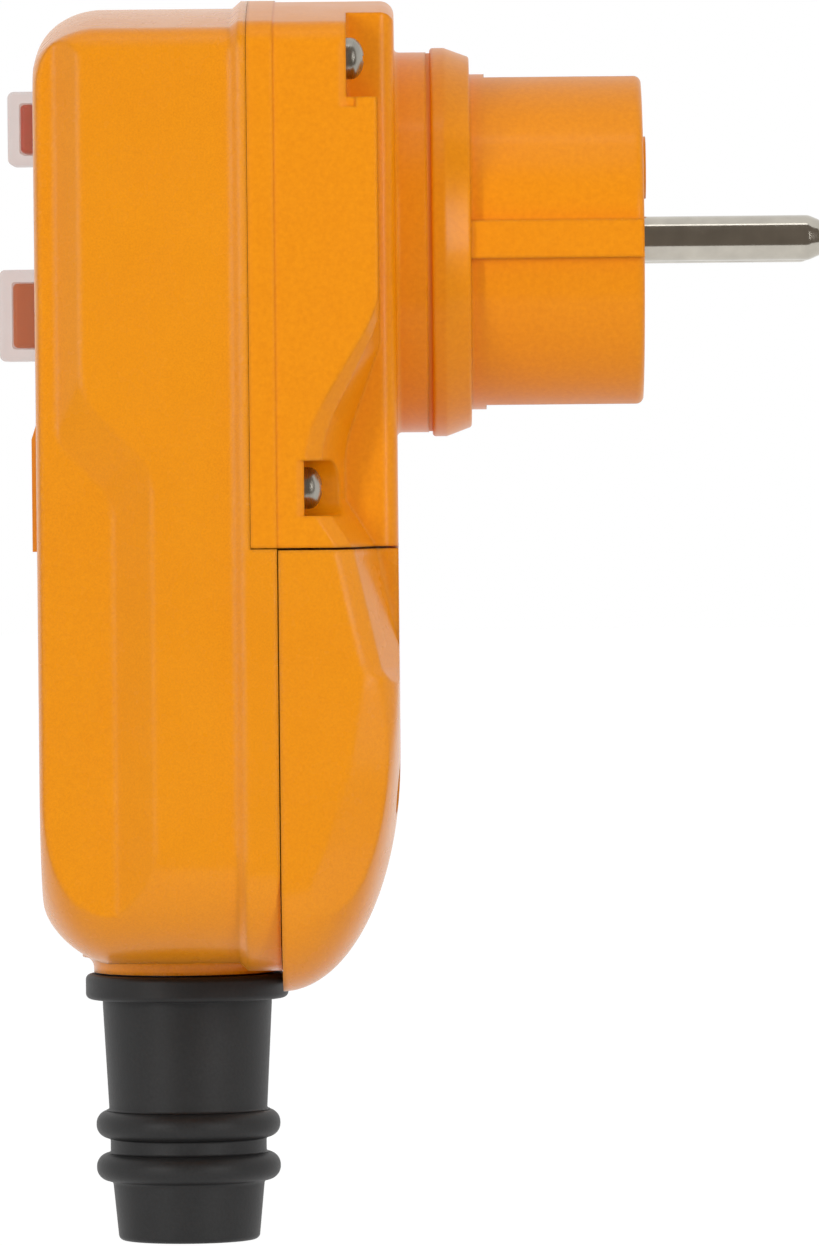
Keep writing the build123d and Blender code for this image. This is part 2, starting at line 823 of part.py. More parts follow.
def rear_housing():
    """Rear shell: banded rim, neck for the plug head, scoops, pockets and screw bosses."""
    form = section_prism(cover_y, rear_y, rear_band_step, rear_band_step, 0)
    form = fillet(form.faces().sort_by(Axis.Y)[-1].edges(), rear_edge_radius)
    form += section_prism(parting_y + seam_gap, cover_y, 0, 0, 0)
    form -= block(-housing_width, housing_width, front_y, 0, -cover_bottom_depth, seam_gap - seam_depth)
    form -= on_both_sides(scoop_cut() + pocket_cuts() + core_chamfer_cut())
    form += rod_along_y(0, 0, neck_radius, rear_y - wall, neck_y)
    inset = rim_flare + wall
    rim_cavity = section_prism(parting_y - overrun, rear_step_y, inset, inset, 0)
    core_cavity = section_prism(parting_y - overrun, rear_floor_y, half_width - core_half, inset, 0)
    form -= (rim_cavity + core_cavity) & above_partition()
    boss = rod_along_y(upper_screw_x, upper_screw_z, screw_boss_radius, parting_y + seam_gap, rear_step_y)
    boss += rod_along_y(lower_screw_x, lower_screw_z, screw_boss_radius, parting_y + seam_gap, rear_step_y)
    form += on_both_sides(boss)
    hole_radius = screw_radius + screw_hole_clearance
    hole = rod_along_y(upper_screw_x, upper_screw_z, hole_radius, parting_y - overrun, pocket_y + overrun)
    hole += rod_along_y(
        lower_screw_x, lower_screw_z, hole_radius, parting_y - overrun, scoop_side_y + overrun,
    )
    form -= on_both_sides(hole)
    form -= rod_along_y(0, 0, spigot_radius + running_gap, spigot_y, neck_y + overrun)
    frame_hole = rod_along_y(
        frame_screw_x, frame_screw_z, board_screw_radius + running_gap,
        rear_floor_y - overrun, rear_floor_y + frame_screw_bite,
    )
    pin_hole = rod_along_y(pin_x, 0, pin_root_radius + running_gap, rear_floor_y - overrun, 0)
    form -= on_both_sides(frame_hole + pin_hole)
    form -= rod_along_y(0, face_boss_rise, face_screw_radius + running_gap, rear_floor_y - overrun, 0)
    slot = block(
        -earth_slot_half, earth_slot_half, rear_floor_y - overrun, 0,
        earth_arm_rise - earth_strap_thickness, earth_arm_rise + earth_strap_thickness,
    )
    form -= top_and_bottom(slot) & rod_along_y(0, 0, spigot_radius, rear_floor_y - overrun, 0)
    form += rod_along_y(
        0, carrier_spring_z, spring_peg_radius, rear_floor_y - spring_peg_height, rear_floor_y,
    )
    return form - rod_along_z(
        earth_lead_x, earth_lead_y, lead_radius + key_gap, -bottom_depth, carrier_spring_z,
    )


def front_cavities():
    """Inner space of the front shell: the switch compartment, narrower below, and the wiring chamber."""
    inset = rim_flare + wall
    low_inset = half_width - lower_inner_half
    wide = section_prism(front_inner_y + wall, cover_y + overrun, inset, inset, 0)
    wide += section_prism(front_inner_y, front_inner_y + overrun, inset + wall, inset + wall / 2, 0)
    wide &= block(-half_width, half_width, front_y, 0, -grip_outer_radius, top_height)
    narrow = section_prism(front_inner_y, cover_y + overrun, low_inset, 0, 0)
    narrow_top = narrow & block(
        -half_width, half_width, front_y, 0, partition_top, overrun - grip_outer_radius,
    )
    chamber = section_prism(front_inner_y, cover_y + overrun, low_inset, 0, bottom_depth + floor_z)
    chamber &= block(-half_width, half_width, front_y, 0, -bottom_depth, partition_foot)
    return wide + narrow_top + chamber


def boot_collar():
    """Collar around the boot's hole under the front shell, with a hollow fillet at its root."""
    foot = rod_along_z(
        0, boot_axis_y, boot_collar_radius + boot_collar_fillet, front_bottom - boot_collar_fillet, floor_z,
    )
    cove = Pos(0, boot_axis_y, front_bottom - boot_collar_fillet) * Torus(
        boot_collar_radius + boot_collar_fillet, boot_collar_fillet
    )
    collar = rod_along_z(0, boot_axis_y, boot_collar_radius, boot_top_z, floor_z) + (foot - cove)
    return collar & block(-half_width, half_width, front_y, cover_y, boot_top_z, 0)


def cap_block(width, height, centre_z, y_from, y_to, radius):
    """Upright block with rounded corners, seen from the front, between two planes."""
    outline = RectangleRounded(width, height, radius)
    return extrude(across(y_to) * Pos(0, centre_z) * outline, amount=y_to - y_from)


def front_housing():
    """Front shell with its cavities, button openings, screw bosses, pillars, clamp posts and boot collar."""
    form = front_form() - on_both_sides(grip_cut()) + boot_collar()
    form -= front_cavities()
    upper_boss = rod_along_y(
        upper_screw_x, upper_screw_z, screw_boss_radius, parting_y - boss_depth, parting_y,
    )
    cover_boss = rod_along_y(cover_screw_x, cover_screw_z, screw_boss_radius, cover_y - boss_depth, cover_y)
    cover_boss += block(
        cover_screw_x, grip_half - wall / 2, cover_y - boss_depth, cover_y,
        cover_screw_z - cover_web_width / 2, cover_screw_z + cover_web_width / 2,
    )
    pillar = rod_along_y(pillar_x, pillar_upper_z, pillar_radius, front_inner_y, bracket_y)
    pillar += rod_along_y(pillar_x, pillar_lower_z, pillar_radius, front_inner_y, bracket_y)
    post = rod_along_y(clamp_screw_x, cable_clamp_z, clamp_post_radius, front_inner_y, clamp_seat_y)
    rib = block(
        terminal_pitch - wall / 2, terminal_pitch + wall / 2, front_inner_y,
        terminal_block_y - terminal_block_depth,
        terminal_block_top - terminal_block_height, terminal_block_top,
    )
    form += on_both_sides(upper_boss + cover_boss + pillar + post + rib)
    cradle_y = boot_axis_y - cable_groove_radius
    form += block(
        -clamp_screw_x, clamp_screw_x, front_inner_y, cradle_y, cable_clamp_z - wall / 2,
        cable_clamp_z + wall / 2,
    )
    hole_radius = screw_radius + screw_hole_clearance
    pilot_end = boss_depth - wall / 2
    hole = rod_along_y(upper_screw_x, upper_screw_z, hole_radius, parting_y - pilot_end, parting_y)
    hole += rod_along_y(lower_screw_x, lower_screw_z, hole_radius, parting_y - pilot_end, parting_y)
    hole += rod_along_y(cover_screw_x, cover_screw_z, hole_radius, cover_y - pilot_end, cover_y)
    hole += rod_along_y(clamp_screw_x, cable_clamp_z, hole_radius, clamp_seat_y - boss_depth, clamp_seat_y)
    small_radius = board_screw_radius + running_gap
    for z in (pillar_upper_z, pillar_lower_z):
        hole += rod_along_y(pillar_x, z, small_radius, front_inner_y - pillar_bite, bracket_y)
    form -= on_both_sides(hole)
    for width, height, centre_z in (
        (test_cap_width, test_cap_height, test_centre_z),
        (reset_cap_width, reset_cap_height, reset_centre_z),
    ):
        gap = 2 * cap_gap
        form -= cap_block(
            width + gap, height + gap, centre_z, front_y - overrun, front_inner_y + running_gap,
            cap_corner_radius + cap_gap,
        )
    form -= rod_along_z(0, boot_axis_y, boot_neck_radius + boot_fit, boot_top_z - overrun, floor_z)
    form -= rod_along_z(
        0, sensor_y, lead_hole_radius, partition_foot - running_gap, partition_top + running_gap,
    )
    return form - gasket(overrun)


def cover_form(shrink):
    """Outer form of the terminal cover, or the same form drawn in by shrink on every side."""
    sections = []
    for share in cover_station_shares:
        behind = share * cover_depth
        side = draw_in(behind, cover_side_depth, cover_side_amount, round_power)
        bottom = draw_in(behind, cover_depth, cover_round_amount, round_power)
        section = housing_section(
            rear_y - shrink - behind, side + shrink, shrink, bottom + shrink, cover_bottom_depth,
        )
        sections.append(section)
    return loft(sections)


def terminal_cover():
    """Lower rear cover: rounded like the stern of a boat, hollow over the clamps, with two screw wells."""
    form = cover_form(0) & block(
        -half_width, half_width, cover_y + seam_gap, 0, -cover_bottom_depth, -seam_depth - seam_gap,
    )
    form -= on_both_sides(scoop_cut())
    form -= cover_form(wall) & block(
        -cover_core_half, cover_core_half, cover_y - wall, 0, -cover_bottom_depth, -seam_depth - wall,
    )
    well = rod_along_y(cover_screw_x, cover_screw_z, cover_screw_bore_radius, rear_y - cover_screw_seat, 0)
    well += rod_along_y(cover_screw_x, cover_screw_z, screw_radius + screw_hole_clearance, cover_y, 0)
    form -= on_both_sides(well)
    form -= rod_along_z(
        earth_lead_x, earth_lead_y, lead_radius + key_gap, -seam_depth - 2 * wall, -seam_depth,
    )
    clearance = boot_flange_radius + cover_boot_clearance
    return form - rod_along_z(
        0, boot_axis_y, clearance, -cover_bottom_depth - overrun, boot_top_z + cover_boot_clearance,
    )


def button_cap(width, height, centre_z, reach, thickness):
    """Silicone cap: a hollow block with rounded edges and a flange behind the front wall."""
    outer = cap_block(width, height, centre_z, front_y - reach, bracket_y, cap_corner_radius)
    front_edges = outer.faces().sort_by(Axis.Y)[0].edges()
    outer = fillet(front_edges, cap_corner_radius)
    spread = 2 * cap_flange_width
    outer += cap_block(
        width + spread, height + spread, centre_z, front_inner_y, bracket_y, cap_corner_radius,
    )
    return outer - cap_block(
        width - 2 * thickness, height - 2 * thickness, centre_z, front_y - reach + thickness,
        bracket_y + overrun,
        cap_corner_radius / 2,
    )


def button_key(width, height, centre_z, reach, thickness, tail_radius, tail_end):
    """Stiff key inside a cap: block, collar behind the bracket, and a round tail."""
    inset = 2 * (thickness + key_gap)
    key_width = width - inset
    key_height = height - inset
    collar_y = bracket_back_y + key_gap
    key = cap_block(
        key_width, key_height, centre_z, front_y - reach + thickness + key_gap, collar_y, key_edge_radius,
    )
    key = fillet(key.faces().sort_by(Axis.Y)[0].edges(), key_edge_radius / 2)
    key += cap_block(
        key_width + 2 * key_collar_width, key_height, centre_z, collar_y, collar_y + key_collar_thickness,
        key_edge_radius,
    )
    return key + rod_along_y(0, centre_z, tail_radius, collar_y, tail_end)


def coil_spring(centre_z, radius, y_from, y_to, turns):
    """Compression spring along Y, of wire with six flats, between two planes."""
    length = y_to - y_from - 2 * spring_wire_radius
    helix = Helix(pitch=length / turns, height=length, radius=radius)
    start = helix.position_at(0)
    profile = Plane(origin=start, z_dir=helix.tangent_at(0)) * RegularPolygon(spring_wire_radius, 6)
    wire = sweep(profile, path=helix)
    return Pos(0, y_from + spring_wire_radius, centre_z) * (Rotation(-90, 0, 0) * wire)


def key_spring(centre_z, tail_radius):
    """Return spring of one key, between its collar and the board."""
    radius = tail_radius + spring_clearance + spring_wire_radius
    collar_y = bracket_back_y + key_gap + key_collar_thickness
    return coil_spring(centre_z, radius, collar_y, board_y, spring_turns)


def pillar_places():
    """The four (x, z) places where the bracket and the board are screwed down."""
    places = []
    for z in (pillar_upper_z, pillar_lower_z):
        places += [(-pillar_x, z), (pillar_x, z)]
    return places


def button_bracket():
    """Plate that holds the caps down and guides the keys, with four pillars for the board."""
    form = block(
        -bracket_half_width, bracket_half_width, bracket_y, bracket_back_y, bracket_foot, bracket_top,
    )
    for x, z in pillar_places():
        form += rod_along_y(x, z, pillar_radius, bracket_y, board_y)
        form -= rod_along_y(x, z, board_screw_radius + running_gap, bracket_y, board_y)
    for width, height, centre_z, thickness in (
        (test_cap_width, test_cap_height, test_centre_z, test_cap_wall),
        (reset_cap_width, reset_cap_height, reset_centre_z, reset_cap_wall),
    ):
        inset = 2 * (thickness + key_gap - slide_gap)
        form -= cap_block(
            width - inset, height - inset, centre_z, bracket_y - running_gap, bracket_back_y + running_gap,
            key_edge_radius,
        )
    return form


def circuit_board():
    """Board with holes for the screws and for the reset key's tail."""
    board = block(-bracket_half_width, bracket_half_width, board_y, board_back_y, bracket_foot, bracket_top)
    for x, z in pillar_places():
        board -= rod_along_y(x, z, board_screw_radius + running_gap, board_y, board_back_y)
    return board - rod_along_y(0, reset_centre_z, reset_tail_radius + slide_gap, board_y, board_back_y)


def bracket_screws():
    """Four screws through board, pillars and bracket into the front wall."""
    length = board_back_y - front_inner_y + pillar_bite - running_gap
    return [
        small_screw(
            x, z, board_back_y, length, board_screw_radius, board_screw_head_radius, board_screw_head_height,
        )
        for x, z in pillar_places()
    ]


def board_places(places):
    """Places on the board, given as (from its left or right edge, below its top edge)."""
    return [
        (math.copysign(bracket_half_width - abs(edge), edge), bracket_top - drop)
        for edge, drop in places
    ]


def board_chips():
    """Flat packages on the front of the board."""
    half_x = chip_size[0] / 2
    half_z = chip_size[1] / 2
    return [
        block(x - half_x, x + half_x, board_y - chip_height, board_y, z - half_z, z + half_z)
        for x, z in board_places(chip_places)
    ]


def board_capacitors():
    """Round capacitors on the front of the board."""
    return [
        rod_along_y(x, z, capacitor_radius, board_y - capacitor_height, board_y)
        for x, z in board_places(capacitor_places)
    ]


def test_pads():
    """Two contact pads that the test key's tail presses together."""
    pad = block(
        pad_split, pad_reach, board_y - pad_thickness, board_y, test_centre_z - pad_half,
        test_centre_z + pad_half,
    )
    return mirrored_pair(pad)


def mechanism_frame():
    """Chassis of the switch: two cheeks joined by a bridge with openings for the carrier and the latch."""
    cheek_outer = frame_inner + frame_cheek
    cheek = block(frame_inner, cheek_outer, frame_front_y, rear_floor_y, frame_foot, frame_top)
    foot_half = frame_foot_width / 2
    foot = block(
        cheek_outer, cheek_outer + frame_foot_width, rear_floor_y - frame_foot_thickness, rear_floor_y,
        frame_screw_z - foot_half, frame_screw_z + foot_half,
    )
    foot -= rod_along_y(
        frame_screw_x, frame_screw_z, board_screw_radius + running_gap, parting_y, rear_floor_y,
    )
    frame = on_both_sides(cheek + foot)
    frame += block(-cheek_outer, cheek_outer, frame_front_y, frame_inner_y, frame_foot, frame_top)
    stem_window = carrier_stem_half + slide_gap
    frame -= block(
        -stem_window, stem_window, frame_front_y, frame_inner_y, reset_centre_z - stem_window,
        reset_centre_z + stem_window,
    )
    latch_window = latch_half_width + slide_gap
    latch_reach = latch_barrel_radius + slide_gap
    frame -= block(
        -latch_window, latch_window, frame_front_y, frame_inner_y, latch_z - latch_reach,
        latch_z + latch_reach,
    )
    return frame - rod_along_x(latch_y, latch_z, latch_pin_radius, -cheek_outer, cheek_outer)


def frame_screws():
    """Two screws that fix the chassis to the rear shell."""
    seat_y = rear_floor_y - frame_foot_thickness
    length = frame_foot_thickness + frame_screw_bite - running_gap
    return [
        small_screw(
            x, frame_screw_z, seat_y, length, board_screw_radius,
            board_screw_head_radius, board_screw_head_height, along=-1,
        )
        for x in (-frame_screw_x, frame_screw_x)
    ]


def contact_carrier():
    """Sliding carrier: head behind the contacts, stem to the reset key, foot for the spring, latch tooth."""
    top = reset_centre_z + carrier_half_height
    bottom = reset_centre_z - carrier_half_height
    head = block(-carrier_half_width, carrier_half_width, carrier_head_y, carrier_back_y, bottom, top)
    stem = block(-carrier_stem_half, carrier_stem_half, stem_front_y, carrier_head_y, bottom, top)
    foot = block(
        -carrier_stem_half, carrier_stem_half, carrier_head_y, carrier_head_y + carrier_foot_thickness,
        reset_centre_z - carrier_foot_drop, bottom,
    )
    tooth = block(
        -latch_half_width, latch_half_width, tooth_y, tooth_y + tooth_length, top, hook_foot_z - slide_gap,
    )
    return head + stem + foot + tooth


def moving_contacts():
    """Two contact arms on the carrier, each with a round contact."""
    arm = block(
        arm_inner_x, arm_outer_x, carrier_back_y, arm_y, reset_centre_z - contact_radius,
        reset_centre_z + contact_radius,
    )
    return mirrored_pair(arm + rod_along_y(pin_x, reset_centre_z, contact_radius, arm_y, moving_y))


def fixed_contacts():
    """Strips riveted to the plug pins, each with a round contact."""
    half = strip_width / 2
    strip = block(
        pin_x - half, pin_x + half, pin_shoulder_y - strip_thickness, pin_shoulder_y,
        reset_centre_z - half, half,
    )
    strip -= rod_along_y(pin_x, 0, pin_rivet_radius, pin_shoulder_y - strip_thickness, pin_shoulder_y)
    contact = rod_along_y(pin_x, reset_centre_z, contact_radius, contact_y, pin_shoulder_y - strip_thickness)
    return mirrored_pair(strip + contact)


def trip_coil():
    """Coil of the trip magnet: a winding between two flanges on a bobbin."""
    top = coil_foot_z + coil_height
    coil = rod_along_z(0, coil_y, coil_radius, coil_foot_z, coil_foot_z + coil_flange)
    coil += rod_along_z(0, coil_y, coil_radius, top - coil_flange, top)
    coil += rod_along_z(0, coil_y, coil_radius - coil_waist, coil_foot_z, top)
    return coil - rod_along_z(0, coil_y, plunger_radius + slide_gap, coil_foot_z, top)


def coil_yoke():
    """Steel frame around the coil, fixed to the bridge."""
    inner = coil_radius + plunger_bore_gap
    outer = inner + yoke_thickness
    top = coil_foot_z + coil_height
    back_y = coil_y + coil_radius - yoke_thickness
    yoke = block(-outer, outer, frame_inner_y, back_y, coil_foot_z - yoke_thickness, top + yoke_thickness)
    yoke -= block(-inner, inner, frame_inner_y, back_y, coil_foot_z, top)
    return yoke - rod_along_z(
        0, coil_y, plunger_radius + slide_gap, coil_foot_z - yoke_thickness, coil_foot_z,
    )


def trip_plunger():
    """Plunger of the trip magnet with the cross pin that lifts the latch."""
    foot = plunger_cross_z - plunger_cross_radius
    top = coil_foot_z + coil_height - plunger_end_gap
    rod = rod_along_z(0, coil_y, plunger_radius, foot, top)
    return rod + rod_along_x(
        coil_y, plunger_cross_z, plunger_cross_radius, -plunger_cross_half, plunger_cross_half,
    )


def latch_lever():
    """Forked latch on its pin: a hook at the end of each prong, and a tail that balances them."""
    half = latch_arm_thickness / 2
    tip_y = coil_y + latch_fork_reach
    prong = block(latch_fork_half, latch_half_width, latch_y, tip_y, latch_z - half, latch_z + half)
    prong += block(latch_fork_half, latch_half_width, tip_y - latch_hook_length, tip_y, hook_foot_z, latch_z)
    lever = rod_along_x(latch_y, latch_z, latch_barrel_radius, -latch_half_width, latch_half_width)
    lever += on_both_sides(prong)
    lever += block(
        -latch_half_width, latch_half_width, latch_y - latch_tail_reach, latch_y, latch_z - half, latch_z + half,
    )
    bore = latch_pin_radius + latch_gap / 2
    return lever - rod_along_x(latch_y, latch_z, bore, -latch_half_width, latch_half_width)


def sensor_core():
    """Ring core of the summation transformer."""
    foot = partition_top + sensor_wrap
    core = rod_along_z(0, sensor_y, sensor_outer_radius, foot, foot + sensor_height)
    return core - rod_along_z(0, sensor_y, sensor_inner_radius, foot, foot + sensor_height)


def sensor_winding():
    """Two wound sectors that wrap the ring core."""
    foot = partition_top
    inner = sensor_inner_radius - sensor_wrap
    outer = sensor_outer_radius + sensor_wrap
    height = sensor_height + 2 * sensor_wrap
    profile = Pos((inner + outer) / 2, height / 2) * Rectangle(outer - inner, height)
    sector = revolve(Plane.XZ * profile, axis=Axis.Z, revolution_arc=sensor_wrap_angle)
    core = rod_along_z(
        0, sensor_y, sensor_outer_radius, foot + sensor_wrap, foot + sensor_wrap + sensor_height,
    )
    core -= rod_along_z(
        0, sensor_y, sensor_inner_radius, foot + sensor_wrap, foot + sensor_wrap + sensor_height,
    )
    turn = -sensor_wrap_angle / 2
    return [
        Pos(0, sensor_y, foot) * (Rotation(0, 0, turn + side) * sector) - core
        for side in (0, HALF_TURN)
    ]


def terminal_block():
    """Insulating block with three open channels for the clamps and a screw well over each."""
    foot_z = terminal_block_top - terminal_block_height
    front = terminal_block_y - terminal_block_depth
    form = block(
        -terminal_block_half, terminal_block_half, front, terminal_block_y, foot_z, terminal_block_top,
    )
    reach = clamp_size / 2 + clamp_gap
    middle_z = terminal_block_top - terminal_block_height / 2
    for x in (-terminal_pitch, 0, terminal_pitch):
        form -= block(
            x - reach, x + reach, terminal_y - reach, terminal_y + reach, foot_z, terminal_block_top,
        )
        form -= rod_along_y(
            x, middle_z, terminal_screw_head_radius + clamp_gap, terminal_y, terminal_block_y,
        )
    return form


def terminal_clamps():
    """Three brass clamps, bored for the conductor and tapped for the screw."""
    half = clamp_size / 2
    middle_z = terminal_block_top - terminal_block_height / 2
    foot_z = middle_z - clamp_height / 2
    clamps = []
    for x in (-terminal_pitch, 0, terminal_pitch):
        clamp = block(
            x - half, x + half, terminal_y - half, terminal_y + half, foot_z, foot_z + clamp_height,
        )
        clamp -= rod_along_z(x, terminal_y, clamp_bore_radius, foot_z, foot_z + clamp_height)
        clamp -= rod_along_y(x, middle_z, terminal_screw_radius, terminal_y, terminal_y + half)
        clamps.append(clamp)
    return clamps


def terminal_screws():
    """Clamping screws, one over each clamp."""
    middle_z = terminal_block_top - terminal_block_height / 2
    seat_y = terminal_y + clamp_size / 2 + terminal_screw_lift
    return [
        small_screw(
            x, middle_z, seat_y, terminal_screw_length, terminal_screw_radius,
            terminal_screw_head_radius, terminal_screw_head_height,
        )
        for x in (-terminal_pitch, 0, terminal_pitch)
    ]


def cable_clamp():
    """Bar that presses the cord into its cradle."""
    half = cable_clamp_height / 2
    bar = block(
        -cable_clamp_half, cable_clamp_half, clamp_seat_y, clamp_seat_y + cable_clamp_thickness,
        cable_clamp_z - half, cable_clamp_z + half,
    )
    bar -= rod_along_z(0, boot_axis_y, cable_groove_radius, cable_clamp_z - half, cable_clamp_z + half)
    hole = rod_along_y(
        clamp_screw_x, cable_clamp_z, screw_radius + screw_hole_clearance,
        clamp_seat_y, clamp_seat_y + cable_clamp_thickness,
    )
    return bar - on_both_sides(hole)


def clamp_screws():
    """Two screws of the cable clamp."""
    seat_y = clamp_seat_y + cable_clamp_thickness
    return mirrored_pair(housing_screw(clamp_screw_x, cable_clamp_z, seat_y, clamp_screw_length))


def cable_boot():
    """Rubber boot: flange inside the floor, neck, outer flange, tapering sleeve with two ribs."""
    flange_z = boot_top_z - boot_flange_gap
    profile = rounded_face([
        (boot_bore_radius, floor_z + boot_inner_flange_height, 0),
        (boot_inner_flange_radius, floor_z + boot_inner_flange_height, boot_edge_radius),
        (boot_inner_flange_radius, floor_z, 0),
        (boot_neck_radius, floor_z, 0),
        (boot_neck_radius, flange_z, 0),
        (boot_flange_radius, flange_z, boot_edge_radius),
        (boot_flange_radius, flange_z - boot_flange_height, boot_edge_radius),
        (boot_body_radius, flange_z - boot_flange_height, boot_edge_radius),
        (boot_waist_radius, flange_z - boot_waist_drop, 0),
        (boot_valley_radius, flange_z - boot_rib_drop, 0),
        (boot_tail_radius, flange_z - boot_tail_drop, 0),
        (boot_end_radius, flange_z - boot_end_drop, boot_edge_radius),
        (boot_bore_radius, flange_z - boot_end_drop, 0),
    ])
    boot = revolve(Plane.XZ * profile, axis=Axis.Z)
    for drop in (boot_rib_drop, boot_rib_drop + boot_rib_pitch):
        boot += Pos(0, 0, flange_z - drop) * Torus(boot_rib_radius - boot_rib_size, boot_rib_size)
    return Pos(0, boot_axis_y, 0) * boot


def front_plate():
    """Thin raised plate on the front, its upper edge a ramp."""
    profile = rounded_face([
        (front_y, plate_top, 0),
        (front_y - plate_thickness, plate_top - plate_ramp, 0),
        (front_y - plate_thickness, plate_foot, 0),
        (front_y, plate_foot, 0),
    ])
    return extrude(beside(-plate_half_width) * profile, amount=2 * plate_half_width)


def lead(points):
    """Insulated lead of even thickness through a run of points, with its bends rounded."""
    path = FilletPolyline(*points, radius=lead_bend_radius)
    profile = Plane(origin=path.position_at(0), z_dir=path.tangent_at(0)) * Circle(lead_radius)
    return sweep(profile, path=path)


def internal_leads():
    """Line and neutral leads through the ring core to the board, and the earth lead to the strap."""
    start_z = terminal_block_top - lead_strip_depth
    bend_z = terminal_block_top + 2 * lead_radius
    ring_top = partition_top + sensor_height + 2 * sensor_wrap + lead_bend_radius
    pole = lead([
        (terminal_pitch, terminal_y, start_z),
        (terminal_pitch, terminal_y, bend_z),
        (lead_offset, sensor_y, bend_z),
        (lead_offset, sensor_y, ring_top),
        (lead_end_x, board_back_y + lead_bow, ring_top + lead_bend_radius),
        (lead_end_x, board_back_y + lead_bow, lead_end_z),
        (lead_end_x, board_back_y, lead_end_z),
    ])
    earth = lead([
        (0, terminal_y, start_z),
        (0, terminal_y, bend_z),
        (earth_lead_x, earth_lead_y, bend_z),
        (earth_lead_x, earth_lead_y, carrier_spring_z),
        (earth_lead_end_x, rear_floor_y - earth_strap_thickness - lead_bow, earth_lead_end_z),
        (earth_lead_end_x, rear_floor_y - earth_strap_thickness, earth_lead_end_z),
    ])
    return [*mirrored_pair(pole), earth]


def save(name, solids):
    """Write one part, a solid or a list of separate solids, to its own STEP file."""
    shape = Compound(children=solids) if isinstance(solids, list) else solids
    shape.label = name
    export_step(shape, f"parts/{name}.step")


os.makedirs("parts", exist_ok=True)

save("front_housing", front_housing())
save("rear_housing", rear_housing())
save("terminal_cover", terminal_cover())
save("housing_gasket", gasket(seam_gap))
save("plug_insert", plug_insert())
save("line_pin", plug_pin(-pin_x))
save("neutral_pin", plug_pin(pin_x))
save("plug_seal_ring", plug_seal_ring())
save("earth_contact", earth_contact())
save("face_screw", face_screw())
save("front_plate", front_plate())
save(
    "test_membrane",
    button_cap(test_cap_width, test_cap_height, test_centre_z, test_cap_reach, test_cap_wall),
)
save(
    "reset_membrane",
    button_cap(reset_cap_width, reset_cap_height, reset_centre_z, reset_cap_reach, reset_cap_wall),
)
save("test_button", button_key(
    test_cap_width, test_cap_height, test_centre_z, test_cap_reach, test_cap_wall, test_tail_radius,
    test_tip_y,
))
save("reset_button", button_key(
    reset_cap_width, reset_cap_height, reset_centre_z, reset_cap_reach, reset_cap_wall,
    reset_tail_radius, reset_tip_y,
))
save("test_spring", key_spring(test_centre_z, test_tail_radius))
save("reset_spring", key_spring(reset_centre_z, reset_tail_radius))
save("button_bracket", button_bracket())
save("bracket_screws", bracket_screws())
save("circuit_board", circuit_board())
save("board_chips", board_chips())
save("board_capacitors", board_capacitors())
save("test_pads", test_pads())
save("mechanism_frame", mechanism_frame())
save("frame_screws", frame_screws())
save("contact_carrier", contact_carrier())
save("moving_contacts", moving_contacts())
save("fixed_contacts", fixed_contacts())
save("carrier_spring", coil_spring(
    carrier_spring_z, carrier_spring_radius - spring_wire_radius, carrier_head_y + carrier_foot_thickness,
    rear_floor_y, carrier_spring_turns,
))
save("trip_coil", trip_coil())
save("coil_yoke", coil_yoke())
save("trip_plunger", trip_plunger())
save("latch_lever", latch_lever())
save("latch_pin", rod_along_x(
    latch_y, latch_z, latch_pin_radius, -frame_inner - frame_cheek, frame_inner + frame_cheek,
))
save("sensor_core", sensor_core())
save("sensor_winding", sensor_winding())
save("internal_leads", internal_leads())
save("terminal_block", terminal_block())
save("terminal_clamps", terminal_clamps())
save("terminal_screws", terminal_screws())
save("cable_clamp", cable_clamp())
save("clamp_screws", clamp_screws())
save("cable_boot", cable_boot())
save("upper_housing_screws", mirrored_pair(
    housing_screw(upper_screw_x, upper_screw_z, pocket_y, upper_screw_length),
))
save("lower_housing_screws", mirrored_pair(
    housing_screw(lower_screw_x, lower_screw_z, scoop_side_y, lower_screw_length),
))
save("cover_screws", mirrored_pair(
    housing_screw(cover_screw_x, cover_screw_z, rear_y - cover_screw_seat, cover_screw_length),
))
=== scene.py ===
"""Dressed model of a rewirable safety plug with a residual-current device, seen from its right side.

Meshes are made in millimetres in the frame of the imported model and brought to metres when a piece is
finished. X runs across the housing, minus Y points out of the buttons, plus Y runs along the pins and
Z is up.
"""

import math

import bmesh
import bpy
from mathutils import Matrix, Vector


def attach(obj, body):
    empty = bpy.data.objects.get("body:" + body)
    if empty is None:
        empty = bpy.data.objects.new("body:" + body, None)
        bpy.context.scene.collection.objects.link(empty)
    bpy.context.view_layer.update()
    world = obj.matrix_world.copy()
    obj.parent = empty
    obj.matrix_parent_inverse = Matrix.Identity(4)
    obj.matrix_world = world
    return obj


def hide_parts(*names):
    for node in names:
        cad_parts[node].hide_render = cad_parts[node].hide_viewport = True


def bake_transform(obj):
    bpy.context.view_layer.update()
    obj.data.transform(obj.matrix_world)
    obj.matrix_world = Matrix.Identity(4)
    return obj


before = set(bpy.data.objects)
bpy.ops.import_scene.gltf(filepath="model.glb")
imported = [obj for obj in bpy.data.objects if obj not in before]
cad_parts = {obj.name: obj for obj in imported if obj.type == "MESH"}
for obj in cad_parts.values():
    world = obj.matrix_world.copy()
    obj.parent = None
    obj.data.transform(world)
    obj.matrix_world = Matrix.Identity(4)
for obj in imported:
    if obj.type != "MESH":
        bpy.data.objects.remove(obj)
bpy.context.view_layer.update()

MM = 0.001
ALONG_Y = Matrix.Rotation(math.radians(-90), 4, "X")

